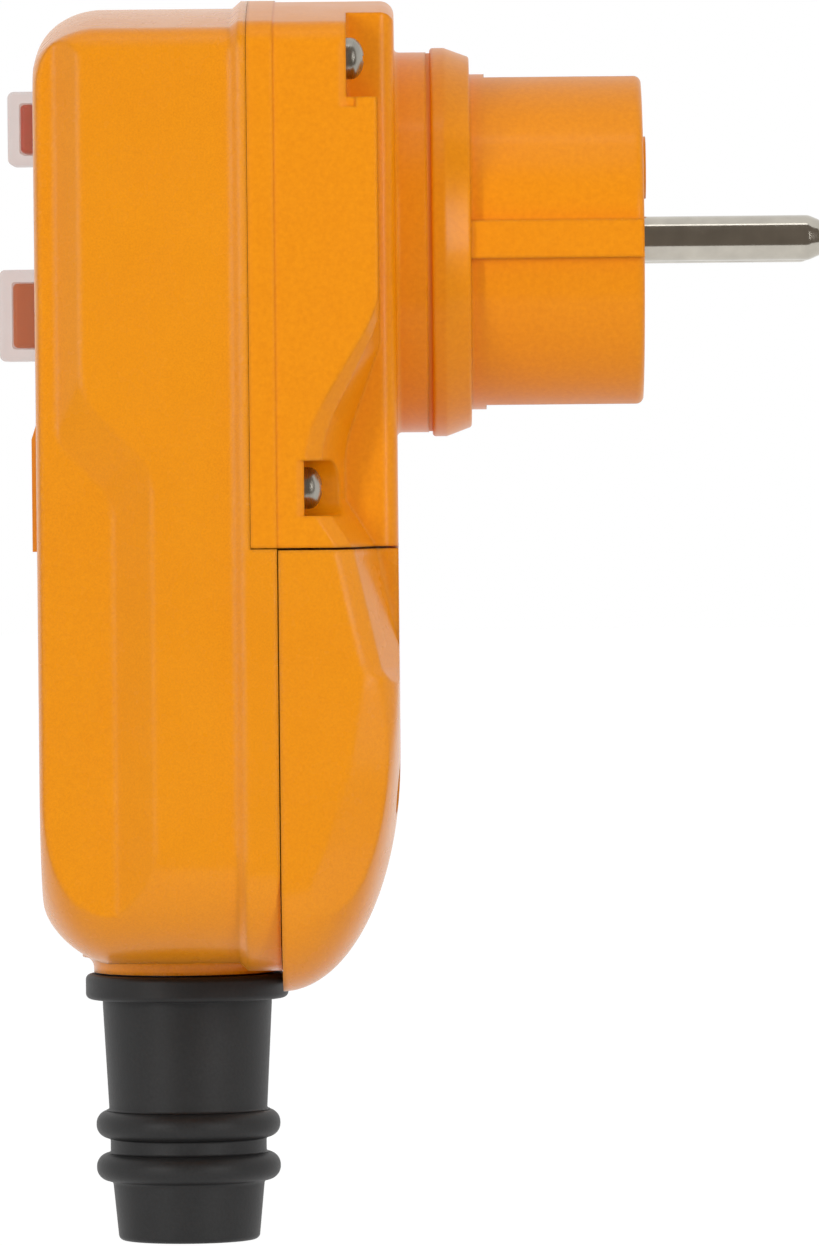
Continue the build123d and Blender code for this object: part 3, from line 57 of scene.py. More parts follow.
# Plug head, collar and pins
head_radius = 18.0
head_length = 18.4
head_edge_radius = 0.8
collar_radius = 20.85
collar_length = 4.2
collar_cone_drop = 1.0
collar_straight = 1.5
collar_edge_radius = 0.35
seal_thickness = 0.4
seal_inset = 0.1
neck_radius = 20.4
neck_length = 3.4
neck_fillet = 0.5
spigot_radius = 17.5
spigot_length = 6.4
pin_radius = 2.4
pin_length = 19.0
pin_pitch = 19.0
pin_tip_length = 1.4
pin_tip_drop = 0.6
pin_root_radius = 2.2
pin_relief_depth = 0.6
side_rib_width = 4.0
side_rib_height = 1.0
face_boss_radius = 3.35
face_boss_height = 0.5
face_boss_rise = 7.8
face_screw_radius = 1.2
earth_recess_width = 8.0
earth_recess_depth = 4.4
earth_recess_length = 16.8
earth_strap_thickness = 0.8
earth_arm_rise = 14.8
earth_slot_half = 3.3
running_gap = 0.05

# Housing
housing_width = 62.0
housing_depth = 38.0
rear_shell_depth = 15.5
cover_depth = 12.7
top_height = 26.0
bottom_depth = 77.2
seam_depth = 32.4
cover_bottom_depth = 79.4
wall = 2.2
seam_gap = 0.12
top_arch_radius = 140.0
top_corner_radius = 3.2
bottom_corner_radius = 12.5
rear_edge_radius = 1.5
rear_band_step = 0.15
rim_flare = 0.8
rim_band = 0.8
rim_chamfer = 0.9
floor_thickness = 4.2
partition_thickness = 2.2

# Rounding of the front face's edges
top_round_depth = 7.0
top_round_amount = 5.4
side_round_depth = 4.1
side_round_amount = 4.1
bottom_round_depth = 7.0
bottom_round_amount = 6.2
round_power = 2.0
bottom_round_power = 1.5
round_steps = 22

# Grip inset on the front shell's sides
grip_inset = 2.2
grip_outer_line = 11.9
grip_inner_line = 8.1
grip_outer_top = 16.2
grip_outer_bend = 23.8
grip_inner_top = 21.3
grip_inner_bend = 27.0
grip_outer_band = 4.8
grip_inner_band = 2.3
grip_outer_radius = 6.0
grip_inner_radius = 4.5

# Scoops on the sides of the rear shell and the cover
scoop_floor_width = 46.0
scoop_strip_depth = 1.5
scoop_top_depth = 6.45
scoop_shoulder_depth = 20.2
scoop_line = 9.8
scoop_foot_depth = 27.3
scoop_tail_depth = 45.0
scoop_bend_radius = 13.0
scoop_small_radius = 1.5
scoop_strip_width = 1.8
scoop_wall_run = 2.4
scoop_tail_line = 3.7
scoop_tail_run = 3.25
scoop_shift_shares = (0.05, 0.75, 0.36)
stern_points = ((3.0, 39.0), (3.8, 46.7), (5.2, 56.0), (8.3, 65.0), (14.0, 76.0))
stern_radius = 20.0
stern_drop = 3.2
stern_run = 8.0
core_edge_radius = 1.8

# Screw pockets and screws
upper_pocket_depth = 5.0
upper_pocket_foot = 14.9
upper_pocket_inner = 23.0
upper_screw_x = 27.0
upper_screw_z = 19.0
lower_pocket_radius = 2.9
lower_screw_x = 27.3
lower_screw_z = -26.05
pocket_bevel = 1.0
pocket_bevel_depth = 0.5
screw_radius = 1.4
screw_hole_clearance = 0.1
screw_head_radius = 2.2
screw_head_height = 1.9
screw_recess_width = 0.6
screw_recess_reach = 1.25
screw_recess_depth = 1.1
screw_boss_radius = 2.9
boss_depth = 7.6
upper_screw_length = 16.0
lower_screw_length = 12.0
cover_screw_x = 20.6
cover_web_width = 2.0
cover_screw_z = -58.0
cover_screw_length = 11.2
cover_screw_seat = 7.6
cover_screw_bore_radius = 2.6
frame_screw_x = 17.9
frame_screw_z = 7.0
frame_screw_bite = 3.4
small_screw_radius = 1.1

# Terminal cover's rounding
cover_round_amount = 24.4
cover_side_depth = 4.4
cover_side_amount = 4.4
cover_steps = 40
cover_core_half = 15.6
cover_boot_clearance = 0.4

# Caps, keys and what is under them
cap_flange_width = 1.5
cap_flange_thickness = 1.1
cap_corner_radius = 0.7
cap_gap = 0.12
key_gap = 0.15
key_edge_radius = 0.5
key_collar_width = 1.1
key_collar_thickness = 1.2
bracket_thickness = 1.5
board_gap = 7.6
pad_thickness = 0.15
test_travel = 1.5
reset_tip_y = -48.9
spring_wire_radius = 0.25
spring_clearance = 0.5
spring_turns = 4.5
carrier_spring_radius = 2.2
carrier_spring_turns = 4.0
carrier_spring_z = -18.4
carrier_foot_y = -39.65
caps = {
    "test": {
        "width": 11.0, "height": 7.9, "z": 12.5, "reach": 3.4, "wall": 1.2, "tail": 1.2,
        "press": "test_key",
    },
    "reset": {
        "width": 13.0, "height": 9.8, "z": -7.5, "reach": 4.45, "wall": 1.3, "tail": 1.6,
        "press": "reset_key",
    },
}

# Inside the front shell
pillar_radius = 2.4
pillar_x = 21.8
pillar_heights = (16.4, -11.2)
pillar_bite = 0.7
terminal_pitch = 10.0
terminal_block_top = -38.0
terminal_block_height = 13.0
terminal_rib_y = -52.2
cable_clamp_z = -63.0
cable_clamp_rise = 2.8
cable_groove_radius = 5.2
clamp_screw_x = 10.4
clamp_post_radius = 2.8
sensor_y = -49.6
lead_hole_radius = 3.8
lead_radius = 1.0
earth_lead_x = 6.0
earth_lead_y = -36.0
spring_peg_radius = 1.2
spring_peg_height = 1.8
gasket_inset = 1.15
gasket_width = 0.9
gasket_depth = 1.2

# Cable boot, on its own axis
boot_axis_y = -49.6
boot_bore_radius = 5.0
boot_inner_flange_radius = 10.8
boot_inner_flange_height = 2.0
boot_neck_radius = 8.9
boot_fit = 0.15
boot_collar_radius = 10.0
boot_collar_drop = 1.7
boot_collar_fillet = 1.2
boot_flange_radius = 10.9
boot_flange_height = 2.7
boot_flange_gap = 0.2
boot_body_radius = 9.1
boot_waist_radius = 8.5
boot_rib_radius = 9.9
boot_rib_size = 1.5
boot_rib_round_share = 0.95
boot_rib_drop = 16.2
boot_rib_pitch = 4.6
boot_valley_radius = 8.4
boot_tail_radius = 8.15
boot_tail_drop = 22.5
boot_end_radius = 7.55
boot_end_drop = 28.7
boot_edge_radius = 0.6

# Mesh fineness
overrun = 5.0
round_sides = 128
small_sides = 40
arc_steps = 14
cap_arc_steps = arc_steps // 2
cap_side_steps = 8
spring_wire_steps = 3
sharp_angle = math.radians(14)
weld_distance = 0.002

# Planes worked out from the sizes above
half_width = housing_width / 2
rear_y = -(head_length + collar_length + seal_thickness + neck_length)
neck_y = rear_y + neck_length
front_y = rear_y - housing_depth
parting_y = rear_y - rear_shell_depth
cover_y = rear_y - cover_depth
front_inner_y = front_y + wall
flare_y = parting_y - rim_band
slope_y = flare_y - rim_chamfer
front_half = half_width - rim_flare
grip_half = front_half - grip_inset
lower_inner_half = grip_half - wall
front_bottom = -(bottom_depth - rim_flare)
floor_z = front_bottom + floor_thickness
spigot_y = -(head_length + collar_length + spigot_length)
rear_floor_y = spigot_y - wall
scoop_floor_half = scoop_floor_width / 2
core_half = scoop_floor_half - wall
pocket_y = rear_y - upper_pocket_depth
scoop_side_y = rear_y - scoop_line
rear_step_y = scoop_side_y - wall
bracket_y = front_inner_y + cap_flange_thickness
bracket_back_y = bracket_y + bracket_thickness
board_y = bracket_back_y + board_gap
pin_x = pin_pitch / 2
boot_top_z = front_bottom - boot_collar_drop
partition_top = -seam_depth + partition_thickness
clamp_seat_y = boot_axis_y + cable_clamp_rise

# Camera in metres, from the photograph's perspective and the pins' size
camera_place = (1.190, -0.0251, -0.0159)
camera_aim = (0.0, -0.0253, -0.0409)
camera_roll = math.radians(-0.55)
camera_focal = 486.5
camera_clip = 0.01
sensor_width = 36.0

# Light and stage: shares of white, places and sizes in metres, powers in watts
world_strength = 0.42
floor_glow = 1.09
floor_glow_share = 0.9
floor_half = 3.0
floor_paint_share = 0.9
card_place = (0.14, -0.025, 0)
card_half = 0.36
card_colour = (124, 116, 108)
light_aim = (0, -0.03, -0.03)
soft_boxes = {
    "right": {"place": (1.0, 0.75, 0.0), "width": 0.1, "height": 1.1, "power": 7.8},
    "left": {"place": (1.0, -0.8, 0.0), "width": 0.1, "height": 1.1, "power": 7.8},
    "top": {"place": (0.6, 0.0, 1.2), "width": 0.6, "height": 0.6, "power": 2.0},
}

# Finishes: colours from 0 to 255, grain and edge sizes in millimetres, the rest shares
plastics = {
    "front_plastic": {
        "colour": (250, 159, 10), "deep": (231, 136, 2), "roughness": 0.27,
        "grain": 0.16, "grain_depth": 0.01, "edge": 0.9, "coat": 0.14, "specular": 0.28,
    },
    "rear_plastic": {
        "colour": (249, 154, 8), "deep": (238, 140, 2), "roughness": 0.32,
        "grain": 0.4, "grain_depth": 0.005, "edge": 0.6, "coat": 0.1, "specular": 0.2,
    },
    "cover_plastic": {
        "colour": (249, 157, 10), "deep": (234, 138, 2), "roughness": 0.27,
        "grain": 0.2, "grain_depth": 0.008, "edge": 0.9, "coat": 0.14, "specular": 0.28,
    },
    "plate_plastic": {
        "colour": (248, 158, 24), "deep": (238, 146, 14), "roughness": 0.4,
        "grain": 0.2, "grain_depth": 0.004, "edge": 0.2,
    },
    "test_key_plastic": {
        "colour": (248, 22, 44), "deep": (230, 18, 38), "roughness": 0.4,
        "grain": 0.3, "grain_depth": 0.002, "edge": 0.15,
    },
    "reset_key_plastic": {
        "colour": (255, 132, 40), "deep": (250, 116, 30), "roughness": 0.4,
        "grain": 0.3, "grain_depth": 0.002, "edge": 0.15,
    },
    "board_green": {
        "colour": (44, 96, 60), "deep": (36, 84, 50), "roughness": 0.35,
        "grain": 0.6, "grain_depth": 0.003, "edge": 0.1,
    },
    "dark_plastic": {
        "colour": (50, 51, 54), "deep": (42, 43, 46), "roughness": 0.45,
        "grain": 0.2, "grain_depth": 0.004, "edge": 0.15,
    },
    "cream_plastic": {
        "colour": (232, 226, 210), "deep": (222, 216, 200), "roughness": 0.4,
        "grain": 0.3, "grain_depth": 0.003, "edge": 0.15,
    },
    "blue_sleeve": {
        "colour": (40, 66, 130), "deep": (34, 58, 116), "roughness": 0.3,
        "grain": 0.4, "grain_depth": 0.002, "edge": 0.1,
    },
    "lead_sleeve": {
        "colour": (48, 96, 168), "deep": (42, 86, 156), "roughness": 0.35,
        "grain": 0.4, "grain_depth": 0.002, "edge": 0.1,
    },
}
metals = {
    "nickel": {"colour": (206, 200, 188), "roughness": 0.13, "along": 1},
    "zinc": {"colour": (176, 172, 162), "roughness": 0.28, "along": 1},
    "spring_metal": {"colour": (190, 184, 172), "roughness": 0.3, "along": 1},
    "steel": {"colour": (150, 150, 148), "roughness": 0.35, "along": 2},
    "brass": {"colour": (212, 172, 92), "roughness": 0.26, "along": 1},
    "copper_wire": {"colour": (176, 92, 48), "roughness": 0.35, "along": 0, "streak": 0.12},
}
rubbers = {
    "boot_rubber": {"colour": (24, 24, 24), "dust": (52, 52, 53), "roughness": 0.495},
    "orange_seal": {"colour": (236, 140, 24), "dust": (240, 152, 40), "roughness": 0.495},
    "seal_rubber": {"colour": (58, 54, 50), "dust": (70, 66, 60), "roughness": 0.595},
}
silicones = {"cap_silicone": {"colour": (192, 146, 122), "opacity": 0.3}}
packed_node_finishes = {
    "plate_plastic": ("front_plate",),
    "seal_rubber": ("housing_gasket",),
    "spring_metal": ("earth_contact", "latch_lever"),
    "zinc": ("face_screw", "bracket_screws", "frame_screws", "terminal_screws", "clamp_screws"),
    "dark_plastic": ("button_bracket", "board_chips", "sensor_core", "cable_clamp"),
    "board_green": ("circuit_board",),
    "blue_sleeve": ("board_capacitors",),
    "brass": ("test_pads", "moving_contacts", "fixed_contacts", "terminal_clamps"),
    "cream_plastic": ("mechanism_frame", "contact_carrier", "terminal_block"),
    "copper_wire": ("trip_coil", "sensor_winding"),
    "steel": ("coil_yoke", "trip_plunger", "latch_pin"),
    "lead_sleeve": ("internal_leads",),
}

# How the finishes vary: patch sizes in millimetres, the rest shares and counts
fine_detail = 2.0
speck_size_share = 1.3
speck_roughness = 0.7
speck_gain = 3.2
grain_roughness = 0.6
drift_size = 18.0
drift_share = 0.5
gloss_size = 4.0
gloss_spread = 0.1
edge_samples = 4
coat_roughness_share = 1 / 3
streak_stretch_share = 0.08
streak_size = 0.25
streak_depth = 0.002
streak_strength = 0.6
streak_spread = 0.16
tarnish_size = 3.0
tarnish_share = 0.8
dust_size = 7.0
dust_detail = 5.0
dust_roughness = 0.65
pebble_size = 0.35
pebble_depth = 0.012
pebble_spread = 0.15
rubber_specular = 0.35
cloud_size = 3.0
cloud_pale_share = 1.08
silicone_roughness = 0.41
silicone_spread = 0.1
silicone_opacity_spread = 0.06
silicone_specular = 0.2

# Constants of the display colour curve, and places in the colour mixing node
FULL_LEVEL = 255
CURVE_KNEE = 0.04045
CURVE_SLOPE = 12.92
CURVE_OFFSET = 0.055
CURVE_POWER = 2.4
MIX_FACTOR, MIX_FIRST, MIX_SECOND, MIX_RESULT = 0, 6, 7, 2


def mesh_object(name, bm):
    """Object of a mesh made in millimetres, its normals facing outward."""
    bmesh.ops.remove_doubles(bm, verts=bm.verts, dist=weld_distance)
    bmesh.ops.recalc_face_normals(bm, faces=bm.faces)
    mesh = bpy.data.meshes.new(name)
    bm.to_mesh(mesh)
    bm.free()
    piece = bpy.data.objects.new(name, mesh)
    bpy.context.scene.collection.objects.link(piece)
    return piece


def through_rings(name, rings):
    """Closed solid through rings of equally many points, its two ends filled."""
    bm = bmesh.new()
    loops = [[bm.verts.new(point) for point in ring] for ring in rings]
    count = len(loops[0])
    for loop, following in zip(loops, loops[1:]):
        for index in range(count):
            after = (index + 1) % count
            bm.faces.new((loop[index], loop[after], following[after], following[index]))
    bm.faces.new(loops[0])
    bm.faces.new(loops[-1])
    return mesh_object(name, bm)


def turned(name, profile, sides, place, turn=None):
    """Solid made by turning a closed profile of (radius, along) points around Z, then turned and placed."""
    bm = bmesh.new()
    loops = []
    for radius, along in profile:
        loop = []
        for side in range(sides):
            angle = math.tau * side / sides
            loop.append(bm.verts.new((radius * math.cos(angle), radius * math.sin(angle), along)))
        loops.append(loop)
    for index, loop in enumerate(loops):
        following = loops[(index + 1) % len(loops)]
        if profile[index][0] == 0 and profile[(index + 1) % len(loops)][0] == 0:
            continue
        for side in range(sides):
            after = (side + 1) % sides
            bm.faces.new((loop[side], loop[after], following[after], following[side]))
    matrix = Matrix.Translation(place) @ (turn or Matrix.Identity(4))
    bmesh.ops.transform(bm, matrix=matrix, verts=bm.verts)
    bmesh.ops.remove_doubles(bm, verts=bm.verts, dist=weld_distance)
    bmesh.ops.dissolve_degenerate(bm, edges=bm.edges, dist=weld_distance)
    return mesh_object(name, bm)


def rod(radius, place, start, end, turn=None, sides=small_sides):
    """Round rod between two planes along its axis, for use as a tool or a boss."""
    return turned("rod", [(0, start), (radius, start), (radius, end), (0, end)], sides, place, turn)


def rod_y(x, z, radius, y_from, y_to, sides=small_sides):
    """Round rod along Y."""
    return rod(radius, (x, 0, z), y_from, y_to, ALONG_Y, sides)


def rod_z(x, y, radius, z_from, z_to, sides=small_sides):
    """Round rod along Z."""
    return rod(radius, (x, y, 0), z_from, z_to, None, sides)


def block(x_from, x_to, y_from, y_to, z_from, z_to):
    """Rectangular solid between three pairs of planes."""
    rings = []
    for y in (y_from, y_to):
        rings.append([(x_from, y, z_from), (x_to, y, z_from), (x_to, y, z_to), (x_from, y, z_to)])
    return through_rings("block", rings)


def arc_about(centre, radius, start, end, steps):
    """Points of an arc from one angle to another."""
    points = []
    for step in range(steps + 1):
        angle = start + (end - start) * step / steps
        points.append((centre[0] + radius * math.cos(angle), centre[1] + radius * math.sin(angle)))
    return points


def rounded_outline(corners, steps=arc_steps):
    """Closed outline through corners given as (across, up, radius), each rounded by its radius."""
    points = []
    for index, (a, b, radius) in enumerate(corners):
        corner = Vector((a, b))
        if radius == 0:
            points.append((a, b))
            continue
        before = Vector(corners[index - 1][:2])
        after = Vector(corners[(index + 1) % len(corners)][:2])
        incoming = (before - corner).normalized()
        outgoing = (after - corner).normalized()
        half_angle = incoming.angle(outgoing) / 2
        centre = corner + (incoming + outgoing).normalized() * (radius / math.sin(half_angle))
        start = corner + incoming * (radius / math.tan(half_angle)) - centre
        end = corner + outgoing * (radius / math.tan(half_angle)) - centre
        turn = -start.angle_signed(end)
        first = math.atan2(start.y, start.x)
        points += arc_about(centre, radius, first, first + turn, steps)
    return points


def housing_outline(side_inset, top_inset, bottom_inset, depth=bottom_depth):
    """Outline across the housing as (x, z) points: arched top and round corners, drawn in by the insets."""
    half = half_width - side_inset
    crown = top_height - top_inset
    foot = bottom_inset - depth
    radius = bottom_corner_radius
    arch_z = crown - top_arch_radius
    corner_x = half - top_corner_radius
    corner_z = arch_z + math.sqrt((top_arch_radius - top_corner_radius) ** 2 - corner_x ** 2)
    lean = math.atan2(corner_z - arch_z, corner_x)
    right = [(0, foot)]
    right += arc_about((half - radius, foot + radius), radius, -math.pi / 2, 0, 2 * arc_steps)
    right += arc_about((corner_x, corner_z), top_corner_radius, 0, lean, arc_steps)
    right += arc_about((0, arch_z), top_arch_radius, lean, math.pi / 2, arc_steps)[1:]
    return right + [(-x, z) for x, z in reversed(right[1:-1])]


def draw_in(behind_face, depth, amount, power):
    """How far a rounded edge has drawn in at a distance behind the face it runs into."""
    if behind_face >= depth:
        return 0
    share = 1 - behind_face / depth
    return amount * (1 - (1 - share ** power) ** (1 / power))


def across(outline, y):
    """Points of an (x, z) outline in the plane at y."""
    return [(x, y, z) for x, z in outline]


def beside(outline, x):
    """Points of a (y, z) outline in the plane at x."""
    return [(x, y, z) for y, z in outline]


def level(outline, z):
    """Points of an (x, y) outline in the plane at z."""
    return [(x, y, z) for x, y in outline]


def section_prism(y_from, y_to, side_inset, top_inset, bottom_inset):
    """Straight run of the housing's outline between two planes."""
    outline = housing_outline(side_inset, top_inset, bottom_inset)
    return through_rings("section", [across(outline, y_from), across(outline, y_to)])


def mirrored(piece):
    """A copy of the piece on the other side of the plane X = 0."""
    bm = bmesh.new()
    bm.from_mesh(piece.data)
    bmesh.ops.transform(bm, matrix=Matrix.Diagonal((-1, 1, 1, 1)), verts=bm.verts)
    return mesh_object(piece.name, bm)


def both_sides(*pieces):
    """The pieces and their mirror images."""
    return [*pieces, *(mirrored(piece) for piece in pieces)]


def carve(name, base, *steps):
    """Unites or cuts the base with each step's tools in order, and returns one new object."""
    tools = []
    for operation, pieces in steps:
        for tool in pieces:
            modifier = base.modifiers.new("carve", "BOOLEAN")
            modifier.operation = operation
            modifier.solver = "EXACT"
            modifier.object = tool
            tools.append(tool)
    bpy.context.view_layer.update()
    graph = bpy.context.evaluated_depsgraph_get()
    mesh = bpy.data.meshes.new_from_object(base.evaluated_get(graph))
    mesh.name = name
    for tool in [base, *tools]:
        bpy.data.objects.remove(tool)
    piece = bpy.data.objects.new(name, mesh)
    bpy.context.scene.collection.objects.link(piece)
    return piece


def cut(*tools):
    """Step of a carving that takes the tools away."""
    return "DIFFERENCE", tools


def add(*tools):
    """Step of a carving that adds the tools."""
    return "UNION", tools


def keep(*tools):
    """Step of a carving that keeps only what lies inside the tools."""
    return "INTERSECT", tools


def joined(name, pieces):
    """Several separate meshes as one object."""
    bm = bmesh.new()
    for piece in pieces:
        bm.from_mesh(piece.data)
        bpy.data.objects.remove(piece)
    return mesh_object(name, bm)


def finished(piece, body, slot, material, *nodes):
    """Brings a piece to metres, shades it, gives it its material and puts it on its body."""
    piece.data.transform(Matrix.Scale(MM, 4))
    piece.data.shade_smooth()
    piece.data.set_sharp_from_angle(angle=sharp_angle)
    weigh = piece.modifiers.new("weigh", "WEIGHTED_NORMAL")
    weigh.keep_sharp = True
    piece.data.materials.clear()
    piece.data.materials.append(material)
    if body:
        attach(piece, body)
    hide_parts(*nodes)


def grip_tool():
    """Tool that draws in one side of the front shell's lower part, with a sloped shoulder."""
    ahead = front_y - overrun
    below = -(bottom_depth + overrun)
    outer_y = parting_y - grip_outer_line + rim_band + rim_flare
    inner_y = front_y + grip_inner_line
    above = top_height + overrun
    outer = rounded_outline([
        (front_y + grip_outer_band, above, 0),
        (front_y + grip_outer_band, -grip_outer_top, grip_outer_radius),
        (outer_y, -grip_outer_bend, grip_outer_radius),
        (outer_y, below, 0),
        (ahead, below, 0),
        (ahead, above, 0),
    ])
    inner = rounded_outline([
        (front_y + grip_inner_band, above, 0),
        (front_y + grip_inner_band, -grip_inner_top, grip_inner_radius),
        (inner_y, -grip_inner_bend, grip_inner_radius),
        (inner_y, below, 0),
        (ahead, below, 0),
        (ahead, above, 0),
    ])
    rings = [beside(inner, grip_half), beside(outer, front_half), beside(outer, front_half + overrun)]
    return through_rings("grip", rings)


def scoop_outline(shift):
    """Side outline of the scoop, moved back by shift."""
    out_y = rear_y + overrun
    across_share, top_share, shoulder_share = scoop_shift_shares
    edge_y = rear_y - rear_edge_radius + across_share * shift
    side_y = scoop_side_y + shift
    return rounded_outline([
        (out_y, upper_pocket_foot + overrun, 0),
        (edge_y, upper_pocket_foot + overrun, 0),
        (edge_y, -scoop_top_depth - top_share * shift, scoop_bend_radius),
        (side_y, -scoop_shoulder_depth - shoulder_share * shift, scoop_bend_radius),
        (side_y, -scoop_foot_depth, scoop_small_radius),
        (side_y + scoop_tail_run, -seam_depth, scoop_small_radius),
        (rear_y - scoop_tail_line + shift, -scoop_tail_depth, scoop_small_radius),
        (out_y, -scoop_tail_depth - scoop_line, 0),
    ])


def scoop_tool():
    """Tool for one side's scoop: a narrow sloped strip, then a steep wall down to the flat floor."""
    crease_x = half_width - scoop_strip_depth
    edge = scoop_outline(0)
    return through_rings("scoop", [
        beside(scoop_outline(scoop_strip_width + scoop_wall_run), scoop_floor_half),
        beside(scoop_outline(scoop_strip_width), crease_x),
        beside(edge, half_width),
        beside(edge, half_width + overrun),
    ])


def front_shell_form():
    """Outer form of the front shell, solid: flared rim, straight body and rounded front."""
    rings = [
        across(housing_outline(0, 0, 0), cover_y),
        across(housing_outline(0, 0, 0), flare_y),
        across(housing_outline(rim_flare, rim_flare, rim_flare), slope_y),
    ]
    for step in range(round_steps + 1):
        behind = top_round_depth * (1 - math.sin(math.pi / 2 * step / round_steps))
        side = draw_in(behind, side_round_depth, side_round_amount, round_power)
        top = draw_in(behind, top_round_depth, top_round_amount, round_power)
        bottom = draw_in(behind, bottom_round_depth, bottom_round_amount, bottom_round_power)
        outline = housing_outline(rim_flare + side, rim_flare + top, rim_flare + bottom)
        rings.append(across(outline, front_y + behind))
    return through_rings("front_shell", rings)


def boot_collar():
    """Collar under the front shell with a hollow fillet at its root."""
    fillet = boot_collar_fillet
    centre = (boot_collar_radius + fillet, front_bottom - fillet)
    profile = [(0, boot_top_z), (boot_collar_radius, boot_top_z)]
    profile += arc_about(centre, fillet, math.pi, math.pi / 2, arc_steps)
    profile += [(boot_collar_radius + fillet, floor_z), (0, floor_z)]
    return turned("collar", profile, round_sides, (0, boot_axis_y, 0))


def gasket_grooves():
    """Tool that cuts the gasket's groove around the switch compartment."""
    outer = section_prism(parting_y - gasket_depth, parting_y + overrun, gasket_inset, gasket_inset, 0)
    bar_foot = -seam_depth + (partition_thickness - gasket_width) / 2
    inset = gasket_inset + gasket_width
    inner = section_prism(parting_y - 2 * gasket_depth, parting_y + 2 * overrun, inset, inset, 0)
    limits = (-half_width, half_width, front_y, overrun)
    outer = carve("groove", outer, keep(block(*limits, bar_foot, top_height)))
    inner = carve("island", inner, keep(block(*limits, bar_foot + gasket_width, top_height + wall)))
    return carve("groove", outer, cut(inner))


def rounded_rectangle(half_w, half_h, centre_z, radius, steps):
    """Outline of a rectangle with round corners around the middle plane, as (x, z) points."""
    return rounded_outline([
        (-half_w, centre_z - half_h, radius),
        (half_w, centre_z - half_h, radius),
        (half_w, centre_z + half_h, radius),
        (-half_w, centre_z + half_h, radius),
    ], steps)


def upright_block(width, height, centre_z, y_from, y_to, radius):
    """Block with rounded corners, seen from the front, between two planes."""
    outline = rounded_rectangle(width / 2, height / 2, centre_z, radius, arc_steps)
    return through_rings("upright", [across(outline, y_from), across(outline, y_to)])


def front_cavities():
    """Inner spaces of the front shell: the switch compartment, narrower below, and the wiring chamber."""
    inset = rim_flare + wall
    low_inset = half_width - lower_inner_half
    end_y = cover_y + overrun
    upper = (-half_width, half_width, front_y, end_y, -grip_outer_radius, top_height)
    wide = section_prism(front_inner_y + wall, end_y, inset, inset, 0)
    wide = carve("wide", wide, keep(block(*upper)))
    shallow = section_prism(front_inner_y, front_inner_y + overrun, inset + wall, inset + wall / 2, 0)
    shallow = carve("shallow", shallow, keep(block(*upper)))
    middle = block(
        -lower_inner_half, lower_inner_half, front_inner_y, end_y,
        partition_top, overrun - grip_outer_radius,
    )
    chamber = section_prism(front_inner_y, end_y, low_inset, 0, bottom_depth + floor_z)
    limits = block(-half_width, half_width, front_y, end_y + overrun, -bottom_depth, -seam_depth)
    return [wide, shallow, middle, carve("chamber", chamber, keep(limits))]


def button_opening(cap):
    """Tool for one cap's opening in the front wall."""
    gap = 2 * cap_gap
    return upright_block(
        cap["width"] + gap, cap["height"] + gap, cap["z"], front_y - overrun,
        front_inner_y + running_gap, cap_corner_radius + cap_gap,
    )


def front_shell(material):
    """Front shell with its cavities, button openings, bosses, pillars, clamp posts and boot collar."""
    root_y = front_inner_y - running_gap
    notch = block(-housing_width, housing_width, parting_y, overrun, -seam_depth, top_height + overrun)
    upper_boss = rod_y(upper_screw_x, upper_screw_z, screw_boss_radius, parting_y - boss_depth, parting_y)
    cover_boss = rod_y(cover_screw_x, cover_screw_z, screw_boss_radius, cover_y - boss_depth, cover_y)
    post = rod_y(clamp_screw_x, cable_clamp_z, clamp_post_radius, root_y, clamp_seat_y)
    rib = block(
        terminal_pitch - wall / 2, terminal_pitch + wall / 2, root_y, terminal_rib_y,
        terminal_block_top - terminal_block_height, terminal_block_top,
    )
    web = block(
        cover_screw_x, grip_half - wall / 2, cover_y - boss_depth, cover_y,
        cover_screw_z - cover_web_width / 2, cover_screw_z + cover_web_width / 2,
    )
    bosses = both_sides(upper_boss, cover_boss, web, post, rib)
    for z in pillar_heights:
        bosses += both_sides(rod_y(pillar_x, z, pillar_radius, root_y, bracket_y))
    bosses.append(block(
        -clamp_screw_x, clamp_screw_x, root_y, boot_axis_y - cable_groove_radius,
        cable_clamp_z - wall / 2, cable_clamp_z + wall / 2,
    ))
    radius = screw_radius + screw_hole_clearance
    pilot = boss_depth - wall / 2
    holes = both_sides(
        rod_y(upper_screw_x, upper_screw_z, radius, parting_y - pilot, overrun),
        rod_y(lower_screw_x, lower_screw_z, radius, parting_y - pilot, overrun),
        rod_y(cover_screw_x, cover_screw_z, radius, cover_y - pilot, overrun),
        rod_y(clamp_screw_x, cable_clamp_z, radius, clamp_seat_y - boss_depth, clamp_seat_y + overrun),
    )
    small = small_screw_radius + running_gap
    for z in pillar_heights:
        holes += both_sides(rod_y(pillar_x, z, small, front_inner_y - pillar_bite, bracket_y + overrun))
    holes += [button_opening(cap) for cap in caps.values()]
    neck_hole = boot_neck_radius + boot_fit
    holes.append(rod_z(0, boot_axis_y, neck_hole, boot_top_z - overrun, floor_z, round_sides))
    lead_foot = -seam_depth - overrun / 2
    holes.append(rod_z(0, sensor_y, lead_hole_radius, lead_foot, partition_top + overrun / 2))
    piece = carve(
        "front_shell", front_shell_form(), add(boot_collar()), cut(notch),
        cut(*both_sides(grip_tool())), cut(*front_cavities()), add(*bosses), cut(*holes),
        cut(gasket_grooves()),
    )
    finished(piece, "housing", "front_shell", material, "front_housing")


